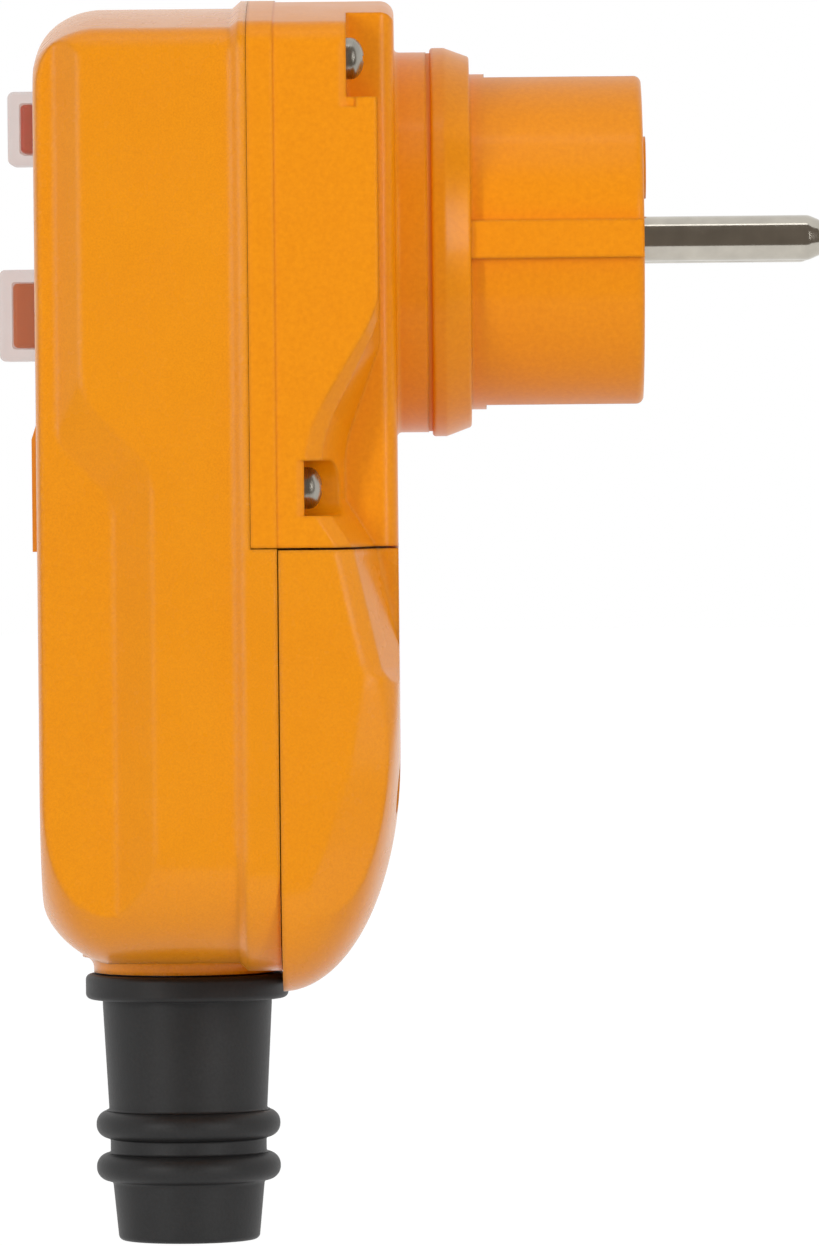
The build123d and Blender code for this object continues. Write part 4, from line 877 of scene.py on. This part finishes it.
def rear_shell_form():
    """Outer form of the rear shell with its banded rim and rounded rear edge."""
    outline = housing_outline(0, 0, 0)
    band = housing_outline(rear_band_step, rear_band_step, 0)
    rings = [across(outline, parting_y + seam_gap / 3), across(outline, cover_y), across(band, cover_y)]
    for step in range(arc_steps + 1):
        angle = math.pi / 2 * step / arc_steps
        inset = rear_band_step + rear_edge_radius * (1 - math.cos(angle))
        y = rear_y - rear_edge_radius + rear_edge_radius * math.sin(angle)
        rings.append(across(housing_outline(inset, inset, 0), y))
    return through_rings("rear_shell", rings)


def pocket_tools():
    """Tools for one side's two screw pockets, with the narrow bevel along their front edges."""
    outside = half_width + overrun
    slot_foot = lower_screw_z - lower_pocket_radius
    slot_top = lower_screw_z + lower_pocket_radius
    tools = [
        block(upper_pocket_inner, outside, pocket_y, overrun, upper_pocket_foot, top_height + overrun),
        block(lower_screw_x, outside, scoop_side_y, overrun, slot_foot, slot_top),
        rod_y(lower_screw_x, lower_screw_z, lower_pocket_radius, scoop_side_y, overrun),
    ]
    spans = (
        (pocket_y, upper_pocket_foot - pocket_bevel, top_height + overrun),
        (scoop_side_y, slot_foot, slot_top),
    )
    for edge_y, foot_z, top_z in spans:
        wedge = [
            (half_width, edge_y - pocket_bevel),
            (outside, edge_y - pocket_bevel),
            (outside, edge_y + pocket_bevel),
            (half_width - pocket_bevel_depth, edge_y + pocket_bevel),
            (half_width - pocket_bevel_depth, edge_y),
        ]
        tools.append(through_rings("wedge", [level(wedge, foot_z), level(wedge, top_z)]))
    return tools


def core_edge_tool():
    """Tool that rounds one rear edge of the core and brings the wing beside it down to the same depth."""
    centre_x = scoop_floor_half - core_edge_radius
    centre_y = rear_y - core_edge_radius
    foot_z = -seam_depth - overrun
    head_z = top_height + overrun
    corner = block(centre_x, half_width + overrun, centre_y, overrun, foot_z, head_z)
    fillet = rod_z(centre_x, centre_y, core_edge_radius, foot_z - overrun, head_z + overrun, round_sides)
    return carve("core_edge", corner, cut(fillet))


def neck():
    """Round neck for the plug head, with a small fillet at the shell."""
    centre = (neck_radius + neck_fillet, rear_y + neck_fillet)
    profile = [(0, rear_y - wall), (neck_radius + neck_fillet, rear_y - wall)]
    profile += arc_about(centre, neck_fillet, -math.pi / 2, -math.pi, arc_steps)
    profile += [(neck_radius, neck_y), (0, neck_y)]
    return turned("neck", profile, round_sides, (0, 0, 0), ALONG_Y)


def strap_slots(y_from, y_to):
    """Tools for the slots that the earth strap's two arms pass through."""
    low = earth_arm_rise - earth_strap_thickness
    high = earth_arm_rise + earth_strap_thickness
    return [
        block(-earth_slot_half, earth_slot_half, y_from, y_to, low, high),
        block(-earth_slot_half, earth_slot_half, y_from, y_to, -high, -low),
    ]


def rear_shell(material):
    """Rear shell with neck, scoops, pockets, cavity, bosses and holes."""
    inset = rim_flare + wall
    below = block(
        -housing_width, housing_width, front_y, overrun,
        -cover_bottom_depth - overrun, seam_gap - seam_depth,
    )
    limits = (-half_width, half_width, front_y, overrun, partition_top, top_height)
    rim_cavity = section_prism(parting_y - overrun, rear_step_y, inset, inset, 0)
    core_cavity = section_prism(parting_y - overrun, rear_floor_y, half_width - core_half, inset, 0)
    cavities = [
        carve("rim_cavity", rim_cavity, keep(block(*limits))),
        carve("core_cavity", core_cavity, keep(block(*limits))),
    ]
    low_y = parting_y + seam_gap
    bosses = both_sides(
        rod_y(upper_screw_x, upper_screw_z, screw_boss_radius, low_y, rear_step_y + running_gap),
        rod_y(lower_screw_x, lower_screw_z, screw_boss_radius, low_y, rear_step_y + running_gap),
    )
    radius = screw_radius + screw_hole_clearance
    small = small_screw_radius + running_gap
    holes = both_sides(
        rod_y(upper_screw_x, upper_screw_z, radius, parting_y - overrun, pocket_y + wall),
        rod_y(lower_screw_x, lower_screw_z, radius, parting_y - overrun, scoop_side_y + wall),
        rod_y(pin_x, 0, pin_root_radius + running_gap, rear_floor_y - overrun, overrun),
        rod_y(frame_screw_x, frame_screw_z, small, rear_floor_y - overrun, rear_floor_y + frame_screw_bite),
    )
    holes.append(rod_y(0, 0, spigot_radius + running_gap, spigot_y, overrun, round_sides))
    holes.append(rod_y(0, face_boss_rise, face_screw_radius + running_gap, rear_floor_y - overrun, overrun))
    holes.append(rod_z(earth_lead_x, earth_lead_y, lead_radius + key_gap, -bottom_depth, carrier_spring_z))
    holes += strap_slots(rear_floor_y - overrun, overrun)
    peg_y = rear_floor_y - spring_peg_height
    peg = rod_y(0, carrier_spring_z, spring_peg_radius, peg_y, rear_floor_y + running_gap)
    piece = carve(
        "rear_shell", rear_shell_form(), cut(below),
        cut(*both_sides(scoop_tool(), *pocket_tools())), cut(*both_sides(core_edge_tool())),
        add(neck()), cut(*cavities), add(*bosses), cut(*holes), add(peg),
    )
    finished(piece, "housing", "rear_shell", material, "rear_housing")


def cover_form(shrink):
    """Outer form of the terminal cover, or the same form drawn in by shrink on every side."""
    rings = []
    for step in range(cover_steps + 1):
        behind = cover_depth * (1 - math.sin(math.pi / 2 * step / cover_steps))
        side = draw_in(behind, cover_side_depth, cover_side_amount, round_power)
        bottom = draw_in(behind, cover_depth, cover_round_amount, round_power)
        outline = housing_outline(side + shrink, shrink, bottom + shrink, cover_bottom_depth)
        rings.append(across(outline, rear_y - shrink - behind))
    return through_rings("cover_form", rings)


def stern_outline(shift):
    """Side outline of the cover's bevelled flank, moved back by shift."""
    out_y = rear_y + overrun + stern_run
    first, *middle, last = [(rear_y - ahead + shift, -depth) for ahead, depth in stern_points]
    corners = [(out_y, first[1], 0), (*first, 0)]
    corners += [(y, z, stern_radius) for y, z in middle]
    corners += [(*last, 0), (out_y, last[1], 0)]
    return rounded_outline(corners)


def stern_tool():
    """Tool that bevels one flank of the cover behind a bowed crease."""
    edge = stern_outline(0)
    return through_rings("stern", [
        beside(stern_outline(stern_run), half_width - stern_drop),
        beside(edge, half_width),
        beside(edge, half_width + overrun),
    ])


def terminal_cover(material):
    """Lower rear cover, rounded like a stern, hollow over the clamps, with two screw wells."""
    limits = block(
        -half_width, half_width, cover_y + seam_gap, overrun,
        -cover_bottom_depth - overrun, -seam_depth - seam_gap,
    )
    hollow_limits = block(
        -cover_core_half, cover_core_half, cover_y - overrun, overrun,
        -cover_bottom_depth - overrun, -seam_depth - wall,
    )
    hollow = carve("hollow", cover_form(wall), keep(hollow_limits))
    radius = screw_radius + screw_hole_clearance
    wells = both_sides(
        rod_y(cover_screw_x, cover_screw_z, cover_screw_bore_radius, rear_y - cover_screw_seat, overrun),
        rod_y(cover_screw_x, cover_screw_z, radius, cover_y - overrun, rear_y),
    )
    clearance = boot_flange_radius + cover_boot_clearance
    foot_z = -cover_bottom_depth - overrun
    lead_hole = lead_radius + key_gap
    holes = [
        rod_z(earth_lead_x, earth_lead_y, lead_hole, -seam_depth - 2 * wall, -seam_depth + wall),
        rod_z(0, boot_axis_y, clearance, foot_z, boot_top_z + cover_boot_clearance, round_sides),
    ]
    piece = carve(
        "cover_shell", cover_form(0), keep(limits), cut(*both_sides(scoop_tool(), stern_tool())),
        cut(hollow), cut(*wells), cut(*holes),
    )
    finished(piece, "housing", "front_shell", material, "terminal_cover")


def plug_head(material):
    """Round plug head and collar, with the side ribs, face boss, pin holes and earth recesses."""
    collar_end = -(head_length + collar_length)
    profile = rounded_outline([
        (0, 0, 0),
        (head_radius, 0, head_edge_radius),
        (head_radius, -head_length, 0),
        (collar_radius - collar_cone_drop, -head_length, collar_edge_radius),
        (collar_radius, collar_straight + collar_end, collar_edge_radius),
        (collar_radius, collar_end, collar_edge_radius),
        (spigot_radius, collar_end, 0),
        (spigot_radius, spigot_y, collar_edge_radius),
        (0, spigot_y, 0),
    ], arc_steps)
    body = turned("plug_head", profile, round_sides, (0, 0, 0), ALONG_Y)
    rib_half = side_rib_width / 2
    ribs = both_sides(block(
        head_radius - rib_half, head_radius + side_rib_height, -head_length - running_gap, -running_gap,
        -rib_half, rib_half,
    ))
    boss = rod_y(0, face_boss_rise, face_boss_radius, -overrun, face_boss_height)
    recess_half = earth_recess_width / 2
    recess_floor = head_radius - earth_recess_depth
    outside = head_radius + overrun
    recesses = [
        block(-recess_half, recess_half, -earth_recess_length, overrun, recess_floor, outside),
        block(-recess_half, recess_half, -earth_recess_length, overrun, -outside, -recess_floor),
    ]
    holes = both_sides(rod_y(pin_x, 0, pin_root_radius + running_gap, spigot_y - overrun, overrun))
    seats = both_sides(rod_y(pin_x, 0, pin_radius + running_gap, -pin_relief_depth, overrun))
    holes.append(rod_y(0, face_boss_rise, face_screw_radius + running_gap, spigot_y - overrun, overrun))
    piece = carve(
        "plug_head", body, add(*ribs), add(boss), cut(*recesses),
        cut(*strap_slots(spigot_y - overrun, -wall)), cut(*holes), cut(*seats),
    )
    finished(piece, "housing", "rear_shell", material, "plug_insert")


def plug_pins(material):
    """The two pins, each with a rounded tip and a root inside the head."""
    tip_flat = pin_radius - pin_tip_drop
    profile = rounded_outline([
        (0, pin_length, 0),
        (tip_flat, pin_length, pin_tip_drop),
        (pin_radius, pin_length - pin_tip_length, pin_tip_length),
        (pin_radius, 0, 0),
        (pin_root_radius, 0, 0),
        (pin_root_radius, spigot_y, 0),
        (0, spigot_y, 0),
    ], arc_steps)
    for node, x in (("line_pin", -pin_x), ("neutral_pin", pin_x)):
        pin = turned(node + "_fine", profile, 2 * small_sides, (x, 0, 0), ALONG_Y)
        finished(pin, "housing", "pin", material, node)


def seal_ring(material):
    """Thin seal between the collar and the neck."""
    outer = neck_radius - seal_inset
    inner = spigot_radius + running_gap
    collar_y = neck_y + seal_thickness
    profile = [(inner, neck_y), (outer, neck_y), (outer, collar_y), (inner, collar_y)]
    ring = turned("seal_ring", profile, round_sides, (0, 0, 0), ALONG_Y)
    finished(ring, "housing", "seal", material, "plug_seal_ring")


def screw_form(x, z, seat_y, length):
    """Pan-head screw with a domed head and a tapering cross recess."""
    top = seat_y + screw_head_height
    half = screw_head_height / 2
    profile = [(0, seat_y - length), (screw_radius, seat_y - length), (screw_radius, seat_y)]
    profile += [(screw_head_radius, seat_y), (screw_head_radius, seat_y + half / 2)]
    for step in range(arc_steps + 1):
        angle = math.pi / 2 * step / arc_steps
        rise = seat_y + half / 2 + (screw_head_height - half / 2) * math.sin(angle)
        profile.append((screw_head_radius * math.cos(angle), rise))
    body = turned("screw", profile, small_sides, (x, 0, z), ALONG_Y)
    width = screw_recess_width / 2
    reach = screw_recess_reach
    foot = top - screw_recess_depth
    tools = []
    for long_x in (True, False):
        rings = []
        for y, spread in ((foot, reach / 2), (top + wall, reach + reach / 2)):
            a, b = (spread, width) if long_x else (width, spread)
            rings.append([(x - a, y, z - b), (x + a, y, z - b), (x + a, y, z + b), (x - a, y, z + b)])
        tools.append(through_rings("recess", rings))
    return carve("screw", body, cut(*tools))


def housing_screws(material):
    """The six screws that hold the rear shell and the cover, in pairs."""
    rows = (
        ("upper_housing_screws", upper_screw_x, upper_screw_z, pocket_y, upper_screw_length),
        ("lower_housing_screws", lower_screw_x, lower_screw_z, scoop_side_y, lower_screw_length),
        ("cover_screws", cover_screw_x, cover_screw_z, rear_y - cover_screw_seat, cover_screw_length),
    )
    for node, x, z, seat_y, length in rows:
        pair = joined(node + "_fine", [screw_form(side * x, z, seat_y, length) for side in (-1, 1)])
        finished(pair, "housing", "screw_metal", material, node)


def boot_rib(rib_z, sleeve_radius):
    """Corners of one round rib of the boot, from the valley below it to the sleeve above it."""
    rib_round = boot_rib_size * boot_rib_round_share
    edge = boot_edge_radius / 2
    return [
        (boot_valley_radius, rib_z - boot_rib_size, edge),
        (boot_rib_radius, rib_z - boot_rib_size, rib_round),
        (boot_rib_radius, rib_z + boot_rib_size, rib_round),
        (sleeve_radius, rib_z + boot_rib_size, edge),
    ]


def cable_boot(material):
    """Rubber boot: flange inside the floor, neck, outer flange, tapering sleeve with two round ribs."""
    flange_z = boot_top_z - boot_flange_gap
    low_z = flange_z - boot_flange_height
    rib_z = flange_z - boot_rib_drop
    edge = boot_edge_radius
    profile = rounded_outline([
        (boot_bore_radius, flange_z - boot_end_drop, edge / 2),
        (boot_end_radius, flange_z - boot_end_drop, edge),
        (boot_tail_radius, flange_z - boot_tail_drop, edge),
        *boot_rib(rib_z - boot_rib_pitch, boot_valley_radius),
        *boot_rib(rib_z, boot_waist_radius),
        (boot_body_radius, low_z - edge, edge / 2),
        (boot_body_radius, low_z, edge / 4),
        (boot_flange_radius, low_z, edge),
        (boot_flange_radius, flange_z, edge),
        (boot_neck_radius, flange_z, 0),
        (boot_neck_radius, floor_z, 0),
        (boot_inner_flange_radius, floor_z, 0),
        (boot_inner_flange_radius, floor_z + boot_inner_flange_height, edge),
        (boot_bore_radius, floor_z + boot_inner_flange_height, 0),
    ], arc_steps)
    boot = turned("boot", profile, round_sides, (0, boot_axis_y, 0))
    finished(boot, "housing", "boot_rubber", material, "cable_boot")


def cap_rings(width, height, centre_z, y_face, y_back, radius):
    """Rings of a block whose corners and front edges are rounded by one radius."""
    rings = []
    for step in range(cap_arc_steps + 1):
        angle = math.pi / 2 * step / cap_arc_steps
        inset = radius * (1 - math.sin(angle))
        corner = max(radius - inset, running_gap)
        outline = rounded_rectangle(width / 2 - inset, height / 2 - inset, centre_z, corner, cap_arc_steps)
        rings.append(across(outline, y_face + radius * (1 - math.cos(angle))))
    start_y = y_face + radius
    for step in range(1, cap_side_steps + 1):
        rings.append(across(outline, start_y + (y_back - start_y) * step / cap_side_steps))
    return rings


def button_cap(name, cap, material):
    """Silicone cap over one key: hollow, with rounded edges and a flange behind the front wall."""
    face_y = front_y - cap["reach"]
    outer = through_rings("cap", cap_rings(
        cap["width"], cap["height"], cap["z"], face_y, bracket_y, cap_corner_radius,
    ))
    spread = 2 * cap_flange_width
    flange = upright_block(
        cap["width"] + spread, cap["height"] + spread, cap["z"], front_inner_y, bracket_y, cap_corner_radius,
    )
    hollow = through_rings("hollow", cap_rings(
        cap["width"] - 2 * cap["wall"], cap["height"] - 2 * cap["wall"], cap["z"], face_y + cap["wall"],
        bracket_y + overrun, cap_corner_radius / 2,
    ))
    piece = carve(f"{name}_cap", outer, add(flange), cut(hollow))
    finished(piece, None, "cap_silicone", material, f"{name}_membrane")
    still_y = (front_inner_y - key_gap) * MM
    moved_y = (face_y + cap["wall"]) * MM
    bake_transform(piece)


def button_key(name, cap, material, tail_end):
    """Stiff key inside a cap: block, collar behind the bracket, and a round tail."""
    inset = 2 * (cap["wall"] + key_gap)
    key_width = cap["width"] - inset
    key_height = cap["height"] - inset
    collar_y = bracket_back_y + key_gap
    face_y = front_y - cap["reach"] + cap["wall"] + key_gap
    key = through_rings("key", cap_rings(key_width, key_height, cap["z"], face_y, collar_y, key_edge_radius))
    collar = upright_block(
        key_width + 2 * key_collar_width, key_height, cap["z"], collar_y - running_gap,
        collar_y + key_collar_thickness, key_edge_radius,
    )
    tail = rod_y(0, cap["z"], cap["tail"], collar_y + running_gap, tail_end)
    piece = carve(f"{name}_key", key, add(collar), add(tail))
    finished(piece, cap["press"], f"{name}_key", material, f"{name}_button")


def spring_curve(name, centre_z, radius, y_from, y_to, turns, node, material):
    """Coil spring of round wire along Y between its seat and the moving part."""
    curve = bpy.data.curves.new(name, "CURVE")
    curve.dimensions = "3D"
    curve.bevel_depth = spring_wire_radius * MM
    curve.bevel_resolution = spring_wire_steps
    low = y_from + spring_wire_radius
    high = y_to - spring_wire_radius
    count = int(turns * arc_steps)
    spline = curve.splines.new("POLY")
    spline.points.add(count)
    for index in range(count + 1):
        angle = math.tau * turns * index / count
        y = low + (high - low) * index / count
        place = Vector((radius * math.cos(angle), y, centre_z + radius * math.sin(angle))) * MM
        spline.points[index].co = (*place, 1)
    holder = bpy.data.objects.new(name, curve)
    bpy.context.scene.collection.objects.link(holder)
    bpy.context.view_layer.update()
    graph = bpy.context.evaluated_depsgraph_get()
    mesh = bpy.data.meshes.new_from_object(holder.evaluated_get(graph))
    bpy.data.objects.remove(holder)
    spring = bpy.data.objects.new(name, mesh)
    bpy.context.scene.collection.objects.link(spring)
    mesh.shade_smooth()
    mesh.materials.clear()
    mesh.materials.append(material)
    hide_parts(node)
    low * MM
    high * MM
    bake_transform(spring)


class Socket:
    """Output of a shader node that can be added to, multiplied and passed on."""

    def __init__(self, tree, output):
        self.tree = tree
        self.output = output

    def math(self, operation, *others):
        """Math node of this socket and the others, which are sockets or numbers."""
        node = self.tree.nodes.new("ShaderNodeMath")
        node.operation = operation
        for index, value in enumerate((self, *others)):
            put(self.tree, node.inputs[index], value)
        return Socket(self.tree, node.outputs[0])

    def __add__(self, other):
        return self.math("ADD", other)

    def __sub__(self, other):
        return self.math("SUBTRACT", other)

    def __mul__(self, other):
        return self.math("MULTIPLY", other)

    def __rsub__(self, other):
        return (self * -1) + other

    __radd__ = __add__
    __rmul__ = __mul__


def put(tree, entry, value):
    """Links a socket to an entry, or sets the entry to a plain value."""
    if isinstance(value, Socket):
        tree.links.new(value.output, entry)
    else:
        entry.default_value = value


def shade(tree, kind, settings, inputs, output=0):
    """Any other shader node: its settings first, then its values and links, and its output if it has one."""
    node = tree.nodes.new(kind)
    for name, value in settings.items():
        setattr(node, name, value)
    for name, value in inputs.items():
        put(tree, node.inputs[name], value)
    return None if output is None else Socket(tree, node.outputs[output])


def linear(colour):
    """Linear colour with alpha of a colour written as red, green and blue levels."""
    channels = []
    for level_shown in colour:
        share = level_shown / FULL_LEVEL
        curved = ((share + CURVE_OFFSET) / (1 + CURVE_OFFSET)) ** CURVE_POWER
        channels.append(share / CURVE_SLOPE if share <= CURVE_KNEE else curved)
    return (*channels, 1)


def new_material(name):
    """Empty material: its tree, its surface shader and the object coordinates."""
    material = bpy.data.materials.new(name)
    material.use_nodes = True
    tree = material.node_tree
    surface = tree.nodes["Principled BSDF"]
    place = shade(tree, "ShaderNodeTexCoord", {}, {}, "Object")
    return material, tree, surface, place


def noise(tree, place, size_mm, detail=3.0, roughness=0.5):
    """Noise whose features are about one size across."""
    values = {"Vector": place, "Scale": 1 / (size_mm * MM), "Detail": detail, "Roughness": roughness}
    return shade(tree, "ShaderNodeTexNoise", {}, values)


def mixed(tree, factor, first, second):
    """Colour between two colours."""
    values = {MIX_FACTOR: factor, MIX_FIRST: first, MIX_SECOND: second}
    return shade(tree, "ShaderNodeMix", {"data_type": "RGBA"}, values, MIX_RESULT)


def varied(factor, centre, spread):
    """Value that strays around its centre as a noise between 0 and 1 does around a half."""
    return factor * spread + (centre - spread / 2)


def moulded(name, colour, deep, roughness, grain, grain_depth, edge, coat=0.0, specular=0.5):
    """Moulded plastic: soft colour drift, fine surface grain, gloss variation and softened edges."""
    material, tree, surface, place = new_material(name)
    speck = noise(tree, place, speck_size_share * grain, fine_detail, speck_roughness)
    speck = (speck - 0.5) * speck_gain + 0.5
    drift = noise(tree, place, drift_size) * drift_share + speck * (1 - drift_share)
    put(tree, surface.inputs["Base Color"], mixed(tree, drift, linear(deep), linear(colour)))
    gloss = noise(tree, place, gloss_size)
    put(tree, surface.inputs["Roughness"], varied(gloss, roughness, gloss_spread))
    bump = shade(tree, "ShaderNodeBump", {}, {
        "Height": noise(tree, place, grain, fine_detail, grain_roughness),
        "Distance": grain_depth * MM,
        "Strength": 1.0,
        "Normal": shade(tree, "ShaderNodeBevel", {"samples": edge_samples}, {"Radius": edge * MM}),
    })
    put(tree, surface.inputs["Normal"], bump)
    surface.inputs["Coat Weight"].default_value = coat
    surface.inputs["Coat Roughness"].default_value = roughness * coat_roughness_share
    surface.inputs["Specular IOR Level"].default_value = specular
    return material


def metal(name, colour, roughness, along, streak=streak_size):
    """Plated or drawn metal with fine streaks around its axis and slight tarnish."""
    material, tree, surface, place = new_material(name)
    stretch = [streak_stretch_share] * 3
    stretch[along] = 1.0
    mapped = shade(tree, "ShaderNodeMapping", {}, {"Vector": place, "Scale": stretch})
    streaks = noise(tree, mapped, streak, fine_detail)
    dark = tuple(channel * tarnish_share for channel in colour)
    tarnish = mixed(tree, noise(tree, place, tarnish_size), linear(dark), linear(colour))
    put(tree, surface.inputs["Base Color"], tarnish)
    put(tree, surface.inputs["Roughness"], varied(streaks, roughness, streak_spread))
    bump = shade(tree, "ShaderNodeBump", {}, {
        "Height": streaks, "Distance": streak_depth * MM, "Strength": streak_strength,
    })
    put(tree, surface.inputs["Normal"], bump)
    surface.inputs["Metallic"].default_value = 1.0
    return material


def rubber(name, colour, dust, roughness):
    """Matte rubber with a fine pebble and pale dust."""
    material, tree, surface, place = new_material(name)
    cloud = noise(tree, place, dust_size, dust_detail, dust_roughness)
    speck = noise(tree, place, pebble_size, fine_detail)
    put(tree, surface.inputs["Base Color"], mixed(tree, cloud * speck, linear(colour), linear(dust)))
    put(tree, surface.inputs["Roughness"], varied(speck, roughness, pebble_spread))
    bump = shade(tree, "ShaderNodeBump", {}, {
        "Height": speck, "Distance": pebble_depth * MM, "Strength": 1.0,
    })
    put(tree, surface.inputs["Normal"], bump)
    surface.inputs["Specular IOR Level"].default_value = rubber_specular
    return material


def silicone(name, colour, opacity):
    """Translucent cap that lets the key show through."""
    material, tree, surface, place = new_material(name)
    cloud = noise(tree, place, cloud_size)
    pale = tuple(min(FULL_LEVEL, channel * cloud_pale_share) for channel in colour)
    put(tree, surface.inputs["Base Color"], mixed(tree, cloud, linear(colour), linear(pale)))
    put(tree, surface.inputs["Roughness"], varied(cloud, silicone_roughness, silicone_spread))
    put(tree, surface.inputs["Alpha"], varied(cloud, opacity, silicone_opacity_spread))
    surface.inputs["Specular IOR Level"].default_value = silicone_specular
    return material


def dress(node, material):
    """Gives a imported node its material, and joins its loose faces."""
    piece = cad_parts[node]
    piece.data.materials.clear()
    piece.data.materials.append(material)
    weld = piece.modifiers.new("weld", "WELD")
    weld.merge_threshold = weld_distance * MM


def bare_material(name):
    """Material without any node, and its tree."""
    material = bpy.data.materials.new(name)
    material.use_nodes = True
    material.node_tree.nodes.clear()
    return material, material.node_tree


def seen_directly(tree):
    """One where the camera, gloss or glass looks, and zero for the light that falls on things."""
    rays = tree.nodes.new("ShaderNodeLightPath")
    seen = Socket(tree, rays.outputs["Is Camera Ray"])
    for kind in ("Is Glossy Ray", "Is Transmission Ray"):
        seen = seen.math("MAXIMUM", Socket(tree, rays.outputs[kind]))
    return seen


def floor_material():
    """Floor material: white to the camera, with the object's shadow kept."""
    material, tree = bare_material("pale_floor")
    paint = shade(tree, "ShaderNodeBsdfDiffuse", {}, {"Color": (*[floor_paint_share] * 3, 1)})
    glow = shade(tree, "ShaderNodeEmission", {}, {"Color": (1, 1, 1, 1), "Strength": floor_glow})
    values = {"Fac": seen_directly(tree) * floor_glow_share, 1: paint, 2: glow}
    both = shade(tree, "ShaderNodeMixShader", {}, values)
    shade(tree, "ShaderNodeOutputMaterial", {}, {"Surface": both}, None)
    return material


def card_material():
    """Dark even paint of the card."""
    material, tree = bare_material("dark_card")
    glow = shade(tree, "ShaderNodeEmission", {}, {"Color": linear(card_colour), "Strength": 1.0})
    shade(tree, "ShaderNodeOutputMaterial", {}, {"Surface": glow}, None)
    return material


def sheet(name, half_size, matrix, material):
    """Flat square piece of the stage, made in metres."""
    bm = bmesh.new()
    bmesh.ops.create_grid(bm, x_segments=1, y_segments=1, size=half_size)
    bmesh.ops.transform(bm, verts=bm.verts, matrix=matrix)
    mesh = bpy.data.meshes.new(name)
    bm.to_mesh(mesh)
    bm.free()
    mesh.materials.append(material)
    piece = bpy.data.objects.new(name, mesh)
    bpy.context.scene.collection.objects.link(piece)
    return piece


def stage_floor():
    """Pale floor under the boot."""
    floor_level = (boot_top_z - boot_flange_gap - boot_end_drop - running_gap) * MM
    floor = sheet("floor", floor_half, Matrix.Translation((0, 0, floor_level)), floor_material())


def dark_card():
    """Dark card on the camera's side that only glossy surfaces see, so metal gets its dark middle band."""
    matrix = Matrix.Translation(card_place) @ Matrix.Rotation(-math.pi / 2, 4, "Y")
    card = sheet("card", card_half, matrix, card_material())
    card.visible_camera = False
    card.visible_diffuse = False
    card.visible_transmission = False
    card.visible_shadow = False


def world_light():
    """Even pale world, pure white where the camera, gloss or glass sees it."""
    world = bpy.data.worlds.new("studio")
    world.use_nodes = True
    bpy.context.scene.world = world
    tree = world.node_tree
    background = tree.nodes["Background"]
    put(tree, background.inputs["Strength"], seen_directly(tree) * (1 - world_strength) + world_strength)
    background.inputs["Color"].default_value = (1, 1, 1, 1)


def area_light(name, place, width, height, power):
    """Soft box at a place, facing the middle of the object."""
    light = bpy.data.lights.new(name, "AREA")
    light.shape = "RECTANGLE"
    light.size = width
    light.size_y = height
    light.energy = power
    holder = bpy.data.objects.new(name, light)
    bpy.context.scene.collection.objects.link(holder)
    toward = Vector(light_aim) - Vector(place)
    turn = toward.to_track_quat("-Z", "Y").to_matrix().to_4x4()
    holder.matrix_world = Matrix.Translation(place) @ turn


def camera():
    """Camera at the photograph's viewpoint."""
    lens = bpy.data.cameras.new("camera")
    lens.sensor_fit = "HORIZONTAL"
    lens.sensor_width = sensor_width
    lens.lens = camera_focal
    lens.clip_start = camera_clip
    holder = bpy.data.objects.new("camera", lens)
    bpy.context.scene.collection.objects.link(holder)
    toward = Vector(camera_aim) - Vector(camera_place)
    turn = toward.to_track_quat("-Z", "Y").to_matrix().to_4x4()
    holder.matrix_world = Matrix.Translation(camera_place) @ turn @ Matrix.Rotation(camera_roll, 4, "Z")
    bpy.context.scene.camera = holder


def button_group(name, cap, tip_y):
    """One push button: its cap, its key and the spring between the key's collar and the board."""
    button_cap(name, cap, finish["cap_silicone"])
    button_key(name, cap, finish[f"{name}_key_plastic"], tip_y)
    radius = cap["tail"] + spring_clearance + spring_wire_radius
    seat_y = bracket_back_y + key_gap + key_collar_thickness
    spring_curve(
        f"{name}_spring_fine", cap["z"], radius, seat_y, board_y, spring_turns, f"{name}_spring",
        finish["steel"],
    )


finish = {}
for makes, family in ((moulded, plastics), (metal, metals), (rubber, rubbers), (silicone, silicones)):
    for finish_name, values in family.items():
        finish[finish_name] = makes(finish_name, **values)

front_shell(finish["front_plastic"])
rear_shell(finish["rear_plastic"])
terminal_cover(finish["cover_plastic"])
plug_head(finish["rear_plastic"])
plug_pins(finish["nickel"])
seal_ring(finish["orange_seal"])
housing_screws(finish["zinc"])
cable_boot(finish["boot_rubber"])
button_group("test", caps["test"], board_y - pad_thickness - test_travel - key_gap)
button_group("reset", caps["reset"], reset_tip_y)
spring_curve(
    "carrier_spring_fine", carrier_spring_z, carrier_spring_radius - spring_wire_radius, carrier_foot_y,
    rear_floor_y, carrier_spring_turns, "carrier_spring", finish["steel"],
)
for finish_name, node_names in packed_node_finishes.items():
    for node_name in node_names:
        dress(node_name, finish[finish_name])

stage_floor()
dark_card()
world_light()
for box_name, soft_box in soft_boxes.items():
    area_light(box_name, **soft_box)
camera()
bpy.context.scene.view_settings.view_transform = "Standard"
